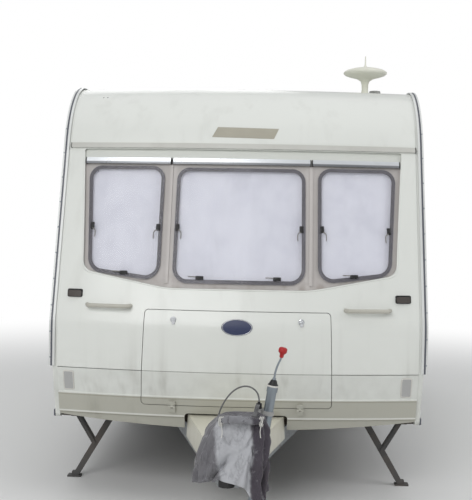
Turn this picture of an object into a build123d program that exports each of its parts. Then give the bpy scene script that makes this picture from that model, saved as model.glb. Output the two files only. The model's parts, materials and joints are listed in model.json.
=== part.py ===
from build123d import *
from math import asin, cos, radians, sin, sqrt, tan
import os

# Travel caravan, parked on its wheels, jockey wheel and corner steadies.
# X runs across the body, towards the entrance door. The front faces -Y. Z is up from the ground.
# The origin lies on the ground, in the middle of the overall length and width.

os.makedirs("parts", exist_ok=True)

# Driving sizes, in millimetres
overall_length = 5850
body_half_width = 1070
wall = 28
hitch_reach = 1250
rear_handle_reach = 38
front_bow = 110
rear_bow = 60
roof_height = 2466
floor_height = 450
floor_thickness = 40
side_bottom = 450
seam = 0.5
seat_gap = 0.3

nose_y = -overall_length / 2 + hitch_reach
tail_y = overall_length / 2 - rear_bow - rear_handle_reach
inner_half = body_half_width - wall

# Front profile at the body's side: how far each corner stands out, its height and its radius
lip_out, lip_height = -60, 490
joint_out, joint_height = 28, 765
bulge_out, bulge_height = 28, 1029
roof_out = -436
front_profile = [
    (lip_out - 50, lip_height - 100, 0),
    (lip_out, lip_height, 40),
    (joint_out, joint_height, 60),
    (bulge_out, bulge_height, 300),
    (roof_out, roof_height, 540),
]
front_flat = 940

# Rear profile, in the same columns
rear_profile = [
    (-60, 440, 0),
    (-20, 620, 80),
    (0, 1000, 300),
    (-110, roof_height, 420),
]
rear_flat = 700


def bow_radius(bow):
    return (body_half_width**2 + bow**2) / (2 * bow)


nose_radius = bow_radius(front_bow)
tail_radius = bow_radius(rear_bow)
nose_axis_y = nose_y - front_bow + nose_radius
tail_axis_y = tail_y + rear_bow - tail_radius
nose_axis = Axis((0, nose_axis_y, 0), (0, 0, 1))
tail_axis = Axis((0, tail_axis_y, 0), (0, 0, 1))
nose_sweep = 16
tail_sweep = 9


def front_y(x, out):
    # The y of the bowed front at a place across it
    return nose_axis_y - sqrt((nose_radius + out) ** 2 - x**2)


def rear_y(x, out):
    return tail_axis_y + sqrt((tail_radius + out) ** 2 - x**2)


def front_out(height):
    # How far the front stands out at a height, along the straight parts of its profile
    rows = front_profile
    for (low_out, low, _), (high_out, high, _) in zip(rows, rows[1:]):
        if height <= high:
            return low_out + (high_out - low_out) * (height - low) / (high - low)
    return roof_out


nose_start = radians(-nose_sweep)
nose_plane = Plane(
    origin=(0, nose_axis_y, 0),
    x_dir=(sin(nose_start), -cos(nose_start), 0),
    z_dir=(-cos(nose_start), -sin(nose_start), 0),
)
tail_start = radians(-tail_sweep)
tail_plane = Plane(
    origin=(0, tail_axis_y, 0),
    x_dir=(-sin(tail_start), cos(tail_start), 0),
    z_dir=(cos(tail_start), sin(tail_start), 0),
)


def profile_face(profile, radius, back, grow):
    # The region behind a bowed end's profile, grown outward or drawn inward
    corners = [(radius + out, height) for out, height, _ in profile]
    radii = [corner for _, _, corner in profile][1:]
    behind = radius - back
    with BuildSketch(mode=Mode.PRIVATE) as face:
        with BuildLine():
            edge = FilletPolyline(*corners, (behind, profile[-1][1]), radius=radii)
            Polyline(edge @ 1, (behind, 100), (corners[0][0], 100), edge @ 0)
        make_face()
        if grow:
            offset(amount=grow, kind=Kind.INTERSECTION)
    return face.sketch


def front_band(outer, inner, low, high):
    # A section of the bowed front skin between two depths and two heights
    with BuildSketch(nose_plane, mode=Mode.PRIVATE) as band:
        add(profile_face(front_profile, nose_radius, front_flat + 600, outer))
        add(profile_face(front_profile, nose_radius, front_flat + 600, inner), mode=Mode.SUBTRACT)
        with Locations((nose_radius - front_flat / 2 + 200, (low + high) / 2)):
            Rectangle(front_flat + 500, high - low, mode=Mode.INTERSECT)
    return band.sketch


def rear_band(outer, inner, low, high):
    with BuildSketch(tail_plane, mode=Mode.PRIVATE) as band:
        add(profile_face(rear_profile, tail_radius, rear_flat + 600, outer))
        add(profile_face(rear_profile, tail_radius, rear_flat + 600, inner), mode=Mode.SUBTRACT)
        with Locations((tail_radius - rear_flat / 2 + 200, (low + high) / 2)):
            Rectangle(rear_flat + 500, high - low, mode=Mode.INTERSECT)
    return band.sketch


def sweep_front(band, mode=Mode.ADD):
    revolve(band, axis=nose_axis, revolution_arc=2 * nose_sweep, mode=mode)


def sweep_rear(band, mode=Mode.ADD):
    revolve(band, axis=tail_axis, revolution_arc=2 * tail_sweep, mode=mode)


def outline(corners, radii, grow=0):
    # A flat outline seen from the front or the side, grown or drawn in by an even margin
    with BuildSketch(mode=Mode.PRIVATE) as shape:
        with BuildLine():
            FilletPolyline(*corners, radius=radii, close=True)
        make_face()
        if grow:
            offset(amount=grow, kind=Kind.INTERSECTION)
    return shape.sketch


def front_prism(shape, mode=Mode.INTERSECT):
    # An outline drawn as the front view shows it, carried straight through the front skin
    with BuildSketch(Plane.XZ, mode=Mode.PRIVATE) as seen:
        add(shape)
    extrude(seen.sketch, amount=-nose_y + 600, mode=mode)


def rear_prism(shape, mode=Mode.INTERSECT):
    with BuildSketch(Plane.XZ, mode=Mode.PRIVATE) as seen:
        add(shape)
    extrude(seen.sketch, amount=-tail_y - 600, mode=mode)


def front_piece(outer, inner, low, high, shape):
    # A piece of the bowed front skin inside an outline
    with BuildPart(mode=Mode.PRIVATE) as piece:
        sweep_front(front_band(outer, inner, low, high))
        front_prism(shape)
    return piece.part


def rear_piece(outer, inner, low, high, shape):
    with BuildPart(mode=Mode.PRIVATE) as piece:
        sweep_rear(rear_band(outer, inner, low, high))
        rear_prism(shape)
    return piece.part


def block_outline(x, height, width, tall, radius):
    with BuildSketch(mode=Mode.PRIVATE) as shape:
        with Locations((x, height)):
            RectangleRounded(width, tall, radius)
    return shape.sketch


def mirrored(points):
    return [(-x, z) for x, z in reversed(points)]


def save(piece, name):
    piece.part.label = name
    export_step(piece.part, f"parts/{name}.step")


# Front openings, as the front view shows them
surround_corners = [(-955, 2046), (-912, 1328), (-415, 1236), (415, 1236), (912, 1328), (955, 2046)]
surround_radii = [12, 70, 260, 260, 70, 12]
surround_depth = 18

lid_corners = [(-531, 1116), (-550, 560), (550, 560), (531, 1116)]
lid_radii = [25, 25, 25, 25]
lid_gap = 3.5
lid_thickness = 22

cutout_half = 296
cutout_top = 515
cutout_corners = [
    (-cutout_half, cutout_top), (-cutout_half, 300), (cutout_half, 300), (cutout_half, cutout_top),
]
cutout_radii = [20, 0, 0, 20]

side_window = [(452, 1945), (455, 1270), (884, 1320), (920, 1945)]
side_window_radii = [78, 90, 90, 78]
centre_window = [(-380, 1938), (-385, 1264), (385, 1264), (380, 1938)]
centre_window_radii = [78, 90, 90, 78]
front_windows = [
    (side_window, side_window_radii),
    (centre_window, centre_window_radii),
    (mirrored(side_window), list(reversed(side_window_radii))),
]
seal_width = 22
pane_thickness = 8
pane_proud = -1
seal_depth = surround_depth - seat_gap

step_height = 611
step_proud = 8
valance_side, valance_middle = 476, 418
strip_low, strip_high, strip_proud = 2054, 2084, 12
cap_end_y = nose_y + front_flat
tail_cap_y = tail_y - rear_flat

# Hinges of the locker's lid: their pins' height and distance from the middle
lid_hinge_height = 556
lid_hinge_x = 367
lid_hinge_half = 19
lid_hinge_leaf = 33
lid_hinge_stand = step_proud + 17
lid_knuckle_radius, lid_knuckle_half, lid_knuckle_reach = 4.5, 7, 8
lid_hinge_y = front_y(0, front_out(lid_hinge_height) + step_proud) - lid_knuckle_radius - 2
lid_bottom = lid_corners[1][1] + lid_gap

def lid_knuckle(x, length, reach):
    # A knuckle on the lid's hinge line, with the web that joins it to its leaf above or below
    with Locations(Plane((x, lid_hinge_y, lid_hinge_height), z_dir=(1, 0, 0))):
        Cylinder(lid_knuckle_radius, length)
    with Locations((x, lid_hinge_y, lid_hinge_height + reach / 2)):
        Box(length, lid_knuckle_radius, abs(reach))


# Lower front moulding with its return lip, cut for the drawbar and for the locker's lid
with BuildPart() as front_skirt:
    sweep_front(front_band(0, -wall, 400, joint_height - 2))
    sweep_front(front_band(step_proud, -wall / 2, lip_height, step_height))
    with Locations((0, nose_y, 700)):
        Box(2 * inner_half, 1200, 1400, mode=Mode.INTERSECT)
    with BuildSketch(Plane.XZ, mode=Mode.PRIVATE) as valance:
        with BuildLine():
            ThreePointArc(
                (-body_half_width, valance_side), (0, valance_middle), (body_half_width, valance_side),
            )
            Polyline((body_half_width, valance_side), (body_half_width, 300), (-body_half_width, 300),
                     (-body_half_width, valance_side))
        make_face()
    extrude(valance.sketch, amount=-nose_y + 600, mode=Mode.SUBTRACT)
    front_prism(outline(cutout_corners, cutout_radii), mode=Mode.SUBTRACT)
    front_prism(outline(lid_corners, lid_radii), mode=Mode.SUBTRACT)
    # The lower halves of the lid's hinges are part of the skirt
    for side in (-1, 1):
        add(front_piece(lid_hinge_stand, 0, lid_hinge_height - lid_hinge_leaf,
                        lid_hinge_height - lid_knuckle_reach,
                        block_outline(side * lid_hinge_x, lid_hinge_height, 2 * lid_hinge_half, 100, 4)))
        outer_length = lid_hinge_half - lid_knuckle_half - seat_gap
        for end in (-1, 1):
            lid_knuckle(side * lid_hinge_x + end * (lid_hinge_half - outer_length / 2), outer_length,
                        -lid_knuckle_reach - 3)
save(front_skirt, "front_skirt")

# Front panel between the skirt and the roof cap, open for the windows and the lid
with BuildPart() as front_panel:
    sweep_front(front_band(0, -wall, joint_height + 2, strip_low + 14))
    with Locations((0, nose_y, 1400)):
        Box(2 * inner_half, 1800, 2400, mode=Mode.INTERSECT)
    front_prism(outline(surround_corners, surround_radii), mode=Mode.SUBTRACT)
    front_prism(outline(lid_corners, lid_radii), mode=Mode.SUBTRACT)
save(front_panel, "front_panel")

# Recessed window moulding with its two upright ribs and three window holes
rib_half, rib_proud, rib_x = 10, 8, 416
with BuildPart() as window_surround:
    sweep_front(front_band(-surround_depth, -wall, 1150, 2200))
    front_prism(outline(surround_corners, surround_radii, -seam))
    for corners, radii in front_windows:
        front_prism(outline(corners, radii, -seal_width + 2), mode=Mode.SUBTRACT)
with BuildPart() as ribs:
    sweep_front(front_band(-surround_depth + rib_proud, -wall + 4, 1262, 1950))
    with BuildSketch(Plane.XZ):
        with Locations((-rib_x, 1600), (rib_x, 1600)):
            Rectangle(2 * rib_half, 2000)
    extrude(amount=-nose_y + 600, mode=Mode.INTERSECT)
with BuildPart() as window_surround_ribbed:
    add(window_surround.part)
    add(ribs.part)
save(window_surround_ribbed, "window_surround")

# Roof cap: the moulded brow over the front windows, curving into the roof
with BuildPart() as roof_cap:
    sweep_front(front_band(0, -wall, strip_low + 16, roof_height + 50))
    with Locations((0, cap_end_y - 1000, 1500)):
        Box(2 * inner_half, 2000, 3000, mode=Mode.INTERSECT)
save(roof_cap, "roof_cap")

# Rear panel, one moulding from the bumper to the roof, with its window hole
rear_window = [(-430, 1860), (-430, 1330), (430, 1330), (430, 1860)]
rear_window_radii = [80, 80, 80, 80]
with BuildPart() as rear_panel:
    sweep_rear(rear_band(0, -wall, side_bottom + 6, roof_height + 50))
    with Locations((0, tail_cap_y + 1000, 1500)):
        Box(2 * inner_half, 2000, 3000, mode=Mode.INTERSECT)
    rear_prism(outline(rear_window, rear_window_radii, -seal_width + 2), mode=Mode.SUBTRACT)
save(rear_panel, "rear_panel")

# Road wheels and axle, sizes that the body's arches follow
wheel_y = 750
wheel_x = body_half_width - 135
tyre_radius = 304
tyre_width = 165
arch_radius = 392
box_radius = 386
box_wall = 5

# Entrance door on the +X side, ahead of the wheel
door_front, door_rear = -420, 190
door_low, door_high = 505, 2200
door_radius = 70
door_gap = 6
door_split, groove_depth = 1420, 3
door_window = [(-330, 2030), (-330, 1520), (100, 1520), (100, 2030)]

# Door hinges: two fixed knuckles on a pin with the door's own knuckle between them
door_hinge_x, door_hinge_y = body_half_width + 8, door_front + door_gap / 2
door_hinge_heights = (760, 1960)
knuckle_radius, knuckle_length, door_pin_radius, pin_clearance = 5.5, 30, 3, 0.3


def door_knuckle(height, reach):
    # A knuckle and the leaf that carries it, towards the front or towards the rear
    with Locations((door_hinge_x, door_hinge_y, height)):
        Cylinder(knuckle_radius, knuckle_length)
    with Locations((body_half_width + 2.5, door_hinge_y + reach / 2, height)):
        Box(7, abs(reach), knuckle_length)


# Side windows: side of the body, front edge, rear edge, bottom, top
side_windows = [
    (-1, -1080, 120, 1330, 1900),
    (-1, 1330, 2230, 1330, 1900),
    (1, -1080, -560, 1330, 1900),
    (1, 1330, 2230, 1330, 1900),
]
window_radius = 70
pane_stand = 4


def window_shape(front, rear, low, high):
    return [(front, high), (front, low), (rear, low), (rear, high)]


def side_outline():
    front = [(front_y(body_half_width, out), height, radius) for out, height, radius in front_profile]
    rear = [(rear_y(body_half_width, out), height, radius) for out, height, radius in rear_profile]
    front[0] = (front_y(body_half_width, lip_out) + 2, side_bottom, 30)
    front[1] = (front_y(body_half_width, lip_out), lip_height, 10)
    rear[0] = (rear[0][0], side_bottom, 30)
    rows = front + rear[::-1]
    return outline([(y, z) for y, z, _ in rows], [radius for _, _, radius in rows])


side_shape = side_outline()

# Side walls, whole sandwich panels with their windows, wheel arch and door opening cut
for name, side in (("side_wall_left", -1), ("side_wall_right", 1)):
    with BuildPart() as side_wall:
        with BuildSketch(Plane.YZ.offset(side * body_half_width)):
            add(side_shape)
            with Locations((wheel_y, tyre_radius)):
                Circle(arch_radius, mode=Mode.SUBTRACT)
            for window_side, front, rear, low, high in side_windows:
                if window_side == side:
                    add(outline(window_shape(front, rear, low, high), [window_radius] * 4, -seal_width + 2),
                        mode=Mode.SUBTRACT)
            if side == 1:
                with Locations(((door_front + door_rear) / 2, (door_low + door_high) / 2)):
                    RectangleRounded(door_rear - door_front, door_high - door_low, door_radius,
                                     mode=Mode.SUBTRACT)
        extrude(amount=-side * wall)
        if side == 1:
            for height in door_hinge_heights:
                door_knuckle(height - knuckle_length - pin_clearance, -32)
                door_knuckle(height + knuckle_length + pin_clearance, -32)
                with Locations((door_hinge_x, door_hinge_y, height)):
                    Cylinder(door_pin_radius, 3 * knuckle_length)
    save(side_wall, name)

# Awning rails: an L section that covers each edge of the front, roof and rear
rail_stand = 20
rail_flange, rail_cover = 34, 20
rail_inset, rail_thickness = 6.5, 5
sill_stand, sill_height, sill_gap = 9, 42, 452
rail_low_rear = 620
with BuildPart() as awning_rails:
    for side in (-1, 1):
        with BuildSketch(Plane.YZ.offset(side * (body_half_width + rail_stand))) as rail_top:
            add(side_shape)
            offset(amount=rail_inset + rail_thickness, kind=Kind.ARC)
            add(offset(side_shape, amount=rail_inset, kind=Kind.ARC, mode=Mode.PRIVATE), mode=Mode.SUBTRACT)
        extrude(amount=-side * rail_flange)
        with BuildSketch(Plane.YZ.offset(side * (body_half_width + rail_stand))):
            add(side_shape)
            offset(amount=rail_inset + rail_thickness, kind=Kind.ARC)
            add(offset(side_shape, amount=-rail_cover, kind=Kind.ARC, mode=Mode.PRIVATE), mode=Mode.SUBTRACT)
        extrude(amount=-side * (rail_stand - seat_gap))
    with Locations((0, nose_y, joint_height + 5 - 1000)):
        Box(4 * body_half_width, overall_length, 2000, mode=Mode.SUBTRACT)
    with Locations((0, tail_y, rail_low_rear - 1000)):
        Box(4 * body_half_width, overall_length, 2000, mode=Mode.SUBTRACT)
    # Sill rails along the foot of each wall, ahead of the wheel and behind it
    for side in (-1, 1):
        for start, end in ((nose_y + 60, wheel_y - sill_gap), (wheel_y + sill_gap, tail_y - 40)):
            with BuildSketch(Plane.YZ.offset(side * (body_half_width + seat_gap))):
                with Locations(((start + end) / 2, side_bottom + 4 + sill_height / 2)):
                    RectangleRounded(end - start, sill_height, 6)
            extrude(amount=side * sill_stand, taper=20)
save(awning_rails, "awning_rails")

# Join strip under the roof cap
with BuildPart() as join_strip:
    sweep_front(front_band(strip_proud, seat_gap, strip_low, strip_high))
    with Locations((0, nose_y, 2000)):
        Box(2 * (inner_half + 2), 1600, 1000, mode=Mode.INTERSECT)
save(join_strip, "join_strip")

# Silver hinge rails along the top of the front windows
hinge_low, hinge_high, hinge_proud = 1958, 1994, 2
hinge_spans = [(-944, -418), (-412, 412), (418, 944)]
with BuildPart() as hinge_rails:
    sweep_front(front_band(hinge_proud, -surround_depth + seat_gap, hinge_low, hinge_high))
    with BuildSketch(Plane.XZ):
        for start, end in hinge_spans:
            with Locations(((start + end) / 2, 1976)):
                Rectangle(end - start, 100)
    extrude(amount=-nose_y + 600, mode=Mode.INTERSECT)
save(hinge_rails, "hinge_rails")

# Window panes, double skin acrylic that stands almost flush with the body
with BuildPart() as window_panes:
    for corners, radii in front_windows:
        add(front_piece(pane_proud, pane_proud - pane_thickness, 1150, 2100, outline(corners, radii)))
    add(rear_piece(pane_stand + pane_thickness, pane_stand, 1200, 2000,
                   outline(rear_window, rear_window_radii)))
    for side, front, rear, low, high in side_windows:
        with BuildSketch(Plane.YZ.offset(side * (body_half_width + pane_stand))):
            add(outline(window_shape(front, rear, low, high), [window_radius] * 4))
        extrude(amount=side * pane_thickness)
save(window_panes, "window_panes")

# Rubber seals between each pane and its panel
with BuildPart() as window_seals:
    for corners, radii in front_windows:
        add(front_piece(pane_proud - pane_thickness - seat_gap, -seal_depth, 1150, 2100,
                        outline(corners, radii, -1) - outline(corners, radii, -seal_width)))
    add(rear_piece(pane_stand - seat_gap, seat_gap, 1200, 2000,
                   outline(rear_window, rear_window_radii, -1)
                   - outline(rear_window, rear_window_radii, -seal_width)))
    for side, front, rear, low, high in side_windows:
        with BuildSketch(Plane.YZ.offset(side * (body_half_width + seat_gap))):
            add(outline(window_shape(front, rear, low, high), [window_radius] * 4, -1))
            add(outline(window_shape(front, rear, low, high), [window_radius] * 4, -seal_width),
                mode=Mode.SUBTRACT)
        extrude(amount=side * (pane_stand - 2 * seat_gap))
save(window_seals, "window_seals")

# Roof panel between the two caps, with two square hatch holes
hatch_hole = 370
hatch_frame = 450
hatch_places = [("roof_lid_front", nose_y + 1425), ("roof_lid_rear", tail_y - 1177)]
with BuildPart() as roof_panel:
    with BuildSketch(Plane.XY.offset(roof_height)):
        with Locations((0, (cap_end_y + tail_cap_y) / 2)):
            Rectangle(2 * inner_half, tail_cap_y - cap_end_y - 2 * seam)
        for _, place in hatch_places:
            with Locations((0, place)):
                Rectangle(hatch_hole, hatch_hole, mode=Mode.SUBTRACT)
    extrude(amount=-wall)
save(roof_panel, "roof_panel")

# Roof hatches: fixed frames and domed lids hinged along their rear edges
frame_height = 26
lid_dome = 46
with BuildPart() as hatch_frames:
    for _, place in hatch_places:
        with BuildSketch(Plane.XY.offset(roof_height + seat_gap)):
            with Locations((0, place)):
                RectangleRounded(hatch_frame, hatch_frame, 40)
                Rectangle(hatch_hole - 4, hatch_hole - 4, mode=Mode.SUBTRACT)
        extrude(amount=frame_height, taper=8)
save(hatch_frames, "roof_hatch_frames")

for name, place in hatch_places:
    lid_width = hatch_frame - 24
    with BuildPart() as roof_lid:
        with BuildSketch(Plane.XY.offset(roof_height + frame_height + 2 * seat_gap)):
            with Locations((0, place)):
                RectangleRounded(lid_width, lid_width, 45)
        extrude(amount=lid_dome, taper=30)
        fillet(roof_lid.faces().sort_by(Axis.Z)[-1].edges(), 8)
        with BuildSketch(Plane.XY.offset(roof_height + frame_height + 2 * seat_gap)):
            with Locations((0, place)):
                RectangleRounded(lid_width - 24, lid_width - 24, 36)
        extrude(amount=lid_dome - 5, taper=30, mode=Mode.SUBTRACT)
    save(roof_lid, name)

# Floor slab with the two wheel boxes moulded over the tyres
arch_inner = wheel_x - tyre_width / 2 - 55
with BuildPart() as floor:
    with BuildSketch(Plane.XY.offset(floor_height)):
        with BuildLine():
            lip_inside = front_out(floor_height) - wall - 14
            tail_inside = rear_profile[0][0] - wall - 6
            ThreePointArc(
                (-inner_half + seam, front_y(inner_half, lip_inside)),
                (0, front_y(0, lip_inside)),
                (inner_half - seam, front_y(inner_half, lip_inside)),
            )
            Line((inner_half - seam, front_y(inner_half, lip_inside)),
                 (inner_half - seam, rear_y(inner_half, tail_inside)))
            ThreePointArc(
                (inner_half - seam, rear_y(inner_half, tail_inside)),
                (0, rear_y(0, tail_inside)),
                (-inner_half + seam, rear_y(inner_half, tail_inside)),
            )
            Line((-inner_half + seam, rear_y(inner_half, tail_inside)),
                 (-inner_half + seam, front_y(inner_half, lip_inside)))
        make_face()
    extrude(amount=floor_thickness)
    for side in (-1, 1):
        with BuildSketch(Plane.YZ.offset(side * arch_inner)):
            with Locations((wheel_y, tyre_radius)):
                Circle(box_radius + box_wall)
            with Locations((wheel_y, floor_height - 500)):
                Rectangle(1000, 1000, mode=Mode.SUBTRACT)
        extrude(amount=side * (inner_half - seam - arch_inner))
        with BuildSketch(Plane.YZ.offset(side * (arch_inner + box_wall))):
            with Locations((wheel_y, tyre_radius)):
                Circle(box_radius)
        extrude(amount=side * (inner_half - arch_inner), mode=Mode.SUBTRACT)
save(floor, "floor")

# Front locker: a box behind the lid, closed to the cabin
locker_half, locker_depth, locker_top, locker_wall = 640, 470, 1170, 12
with BuildPart() as locker_box:
    with BuildSketch(nose_plane, mode=Mode.PRIVATE) as inside:
        add(profile_face(front_profile, nose_radius, front_flat + 600, -wall - 0.5))
        with Locations((nose_radius - 300, 830)):
            Rectangle(1400, 2 * (830 - floor_height - floor_thickness - seam), mode=Mode.INTERSECT)
    sweep_front(inside.sketch)
    locker_middle = (floor_height + floor_thickness + seam + locker_top) / 2
    with Locations((0, nose_y - 500 + locker_depth, locker_middle)):
        Box(2 * locker_half, 1000, locker_top - floor_height - floor_thickness - seam, mode=Mode.INTERSECT)
    with Locations((0, nose_y - 500 + locker_depth - locker_wall,
                    (floor_height + floor_thickness + locker_top) / 2)):
        Box(2 * (locker_half - locker_wall), 1000,
            locker_top - floor_height - floor_thickness - 2 * locker_wall, mode=Mode.SUBTRACT)
save(locker_box, "locker_box")

# Locker lid, shaped by the same front profile, hinged along its lower edge and locked at the top
lock_x, lock_height, lock_radius = 363, 1062, 14
with BuildPart() as locker_lid:
    sweep_front(front_band(0, -lid_thickness, 500, 1200))
    sweep_front(front_band(step_proud, -lid_thickness / 2, 500, step_height))
    front_prism(outline(lid_corners, lid_radii, -lid_gap))
    for side in (-1, 1):
        lock_y = front_y(lock_x, front_out(lock_height))
        with Locations(Plane((side * lock_x, lock_y + 8, lock_height), z_dir=(0, -1, 0))):
            Cylinder(lock_radius, 14, align=(Align.CENTER, Align.CENTER, Align.MIN))
        leaf = block_outline(side * lid_hinge_x, lid_hinge_height, 2 * lid_hinge_half, 100, 4)
        leaf_top = lid_hinge_height + lid_hinge_leaf
        add(front_piece(lid_hinge_stand, 0, lid_bottom + 1, leaf_top, leaf))
        lid_knuckle(side * lid_hinge_x, 2 * lid_knuckle_half, lid_knuckle_reach + 3)
save(locker_lid, "locker_lid")

# Entrance door leaf with its own window hole and a recessed handle
with BuildPart() as entrance_door:
    with BuildSketch(Plane.YZ.offset(body_half_width + 2)):
        with Locations(((door_front + door_rear) / 2, (door_low + door_high) / 2)):
            RectangleRounded(door_rear - door_front - 2 * door_gap, door_high - door_low - 2 * door_gap,
                             door_radius - door_gap)
        add(outline(door_window, [60] * 4, -14), mode=Mode.SUBTRACT)
    extrude(amount=-wall)
    with Locations((body_half_width + 2, door_rear - 60, 1250)):
        Box(16, 34, 120, align=(Align.MIN, Align.CENTER, Align.CENTER))
    # The groove where the upper and lower leaves of the door meet
    with Locations((body_half_width + 2, (door_front + door_rear) / 2, door_split)):
        Box(2 * groove_depth, 2 * (door_rear - door_front), 5, mode=Mode.SUBTRACT)
    for height in door_hinge_heights:
        door_knuckle(height, 32)
        with Locations((door_hinge_x, door_hinge_y, height)):
            Cylinder(door_pin_radius + pin_clearance, 3 * knuckle_length, mode=Mode.SUBTRACT)
save(entrance_door, "entrance_door")

with BuildPart() as door_pane:
    with BuildSketch(Plane.YZ.offset(body_half_width + 2 + seat_gap)):
        add(outline(door_window, [60] * 4))
    extrude(amount=pane_thickness)
save(door_pane, "door_pane")

# Blinds drawn down behind the panes
blind_depth, blind_thickness, blind_margin = wall + 2 * seat_gap, 3, 8
with BuildPart() as blinds:
    for corners, radii in front_windows:
        add(front_piece(-blind_depth, -blind_depth - blind_thickness, 1150, 2100,
                        outline(corners, radii, blind_margin)))
    add(rear_piece(-blind_depth, -blind_depth - blind_thickness, 1150, 2100,
                   outline(rear_window, rear_window_radii, blind_margin)))
    for side, front, rear, low, high in side_windows:
        with BuildSketch(Plane.YZ.offset(side * (body_half_width - blind_depth))):
            add(outline(window_shape(front, rear, low, high), [window_radius] * 4, blind_margin))
        extrude(amount=-side * blind_thickness)
save(blinds, "blinds")

# Front lamps: two smoky marker lamps and two upright position lamps
marker_x, marker_height = body_half_width - 122, 1192
position_x, position_height = body_half_width - 95, 687
with BuildPart() as front_lamps:
    for side in (-1, 1):
        for x, height, width, tall, proud in (
            (marker_x, marker_height, 80, 35, 16),
            (position_x, position_height, 52, 106, 5),
        ):
            add(front_piece(proud, seat_gap, height - 100, height + 100,
                            block_outline(side * x, height, width, tall, 10)))
save(front_lamps, "front_lamps")

# Grab handles: a bent tube on two feet, a pair in front and a pair behind
handle_in, handle_out = body_half_width - 456, body_half_width - 200
handle_height, rear_handle_height = 1130, 1060
handle_radius, handle_stand = 12, 46
with BuildPart() as grab_handles:
    for side in (-1, 1):
        points = []
        for x, stand in ((handle_in, 0), (handle_in + 14, handle_stand), (handle_out - 14, handle_stand),
                         (handle_out, 0)):
            points.append((side * x, front_y(x, front_out(handle_height)) - stand - 1, handle_height))
        with BuildLine() as handle_path:
            FilletPolyline(*points, radius=24)
        with BuildSketch(Plane(points[0], z_dir=handle_path.line % 0)):
            Circle(handle_radius)
        sweep(path=handle_path.line)
        points = []
        for x, stand in ((handle_in, 0), (handle_in + 14, handle_stand), (handle_out - 14, handle_stand),
                         (handle_out, 0)):
            points.append((side * x, rear_y(x, 0) + stand - 2, rear_handle_height))
        with BuildLine() as handle_path:
            FilletPolyline(*points, radius=24)
        with BuildSketch(Plane(points[0], z_dir=handle_path.line % 0)):
            Circle(handle_radius)
        sweep(path=handle_path.line)
    sweep_front(front_band(seat_gap, -200, handle_height - 130, handle_height + 120),
                mode=Mode.SUBTRACT)
    sweep_rear(rear_band(seat_gap, -200, rear_handle_height - 160, rear_handle_height + 190),
               mode=Mode.SUBTRACT)
save(grab_handles, "grab_handles")

# Rear lamp clusters
rear_lamp_x, rear_lamp_height = body_half_width - 210, 720
with BuildPart() as rear_lamps:
    for side in (-1, 1):
        add(rear_piece(14, seat_gap, rear_lamp_height - 120, rear_lamp_height + 180,
                       block_outline(side * rear_lamp_x, rear_lamp_height, 300, 110, 20)))
save(rear_lamps, "rear_lamps")

# Chassis: two channel rails with lightening holes, the converging drawbar and cross members
rail_x = body_half_width - 510
rail_depth, rail_end_depth = 160, 90
rail_web, rail_flange_width = 4, 50
rail_top = floor_height - seat_gap
drawbar_tip_y = -overall_length / 2 + 330
drawbar_tip_x = 50
drawbar_depth, drawbar_tip_depth = 120, 80
drawbar_start_y = nose_y + 1150
drawbar_drop = 30
rail_rear_y = tail_y - 260
axle_tube_radius = 50
axle_tube_height = rail_top - rail_depth - axle_tube_radius
axle_tube_y = wheel_y - 165
with BuildPart() as chassis_rails:
    for side in (-1, 1):
        with BuildSketch(Plane.YZ.offset(side * rail_x)):
            with BuildLine():
                Polyline(
                    (drawbar_start_y, rail_top), (rail_rear_y, rail_top),
                    (rail_rear_y, rail_top - rail_end_depth), (wheel_y + 500, rail_top - rail_depth),
                    (wheel_y - 600, rail_top - rail_depth), (drawbar_start_y, rail_top - drawbar_depth),
                    close=True,
                )
            make_face()
            with Locations(*[(drawbar_start_y + 450 + 260 * step, rail_top - 72) for step in range(4)]):
                Circle(38, mode=Mode.SUBTRACT)
            with Locations(*[(wheel_y + 560 + 260 * step, rail_top - 62) for step in range(4)]):
                Circle(32, mode=Mode.SUBTRACT)
        extrude(amount=-side * rail_web)
        with BuildSketch(Plane.YZ.offset(side * rail_x)):
            with BuildLine():
                Polyline(
                    (drawbar_start_y, rail_top), (rail_rear_y, rail_top),
                    (rail_rear_y, rail_top - rail_end_depth), (wheel_y + 500, rail_top - rail_depth),
                    (wheel_y - 600, rail_top - rail_depth), (drawbar_start_y, rail_top - drawbar_depth),
                    close=True,
                )
            make_face()
            with BuildLine():
                Polyline(
                    (drawbar_start_y - 10, rail_top - rail_web), (rail_rear_y + 10, rail_top - rail_web),
                    (rail_rear_y + 10, rail_top - rail_end_depth + rail_web),
                    (wheel_y + 500, rail_top - rail_depth + rail_web),
                    (wheel_y - 600, rail_top - rail_depth + rail_web),
                    (drawbar_start_y - 10, rail_top - drawbar_depth + rail_web),
                    close=True,
                )
            make_face(mode=Mode.SUBTRACT)
        extrude(amount=-side * rail_flange_width)
    for place, depth in ((wheel_y - 900, 60), (wheel_y + 900, 60)):
        with Locations((0, place, rail_top - depth / 2)):
            Box(2 * (rail_x - rail_web), 40, depth)
    # The drawbar's two legs run from the rails to the coupling
    for side in (-1, 1):
        run_x = rail_x - drawbar_tip_x
        run_y = drawbar_start_y - drawbar_tip_y
        leg_length = sqrt(run_x**2 + run_y**2)
        leg_plane = Plane(
            origin=(side * rail_x, drawbar_start_y, rail_top),
            x_dir=(-side * run_x / leg_length, -run_y / leg_length, 0),
            z_dir=(side * run_y / leg_length, -run_x / leg_length, 0),
        )
        up = 1 if leg_plane.y_dir.Z > 0 else -1
        with BuildSketch(leg_plane):
            with BuildLine():
                Polyline(
                    (-20, 0), (leg_length, -up * drawbar_drop),
                    (leg_length, -up * (drawbar_drop + drawbar_tip_depth)),
                    (-20, -up * drawbar_depth), close=True,
                )
            make_face()
        extrude(amount=-rail_flange_width)
save(chassis_rails, "chassis_rails")

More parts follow.
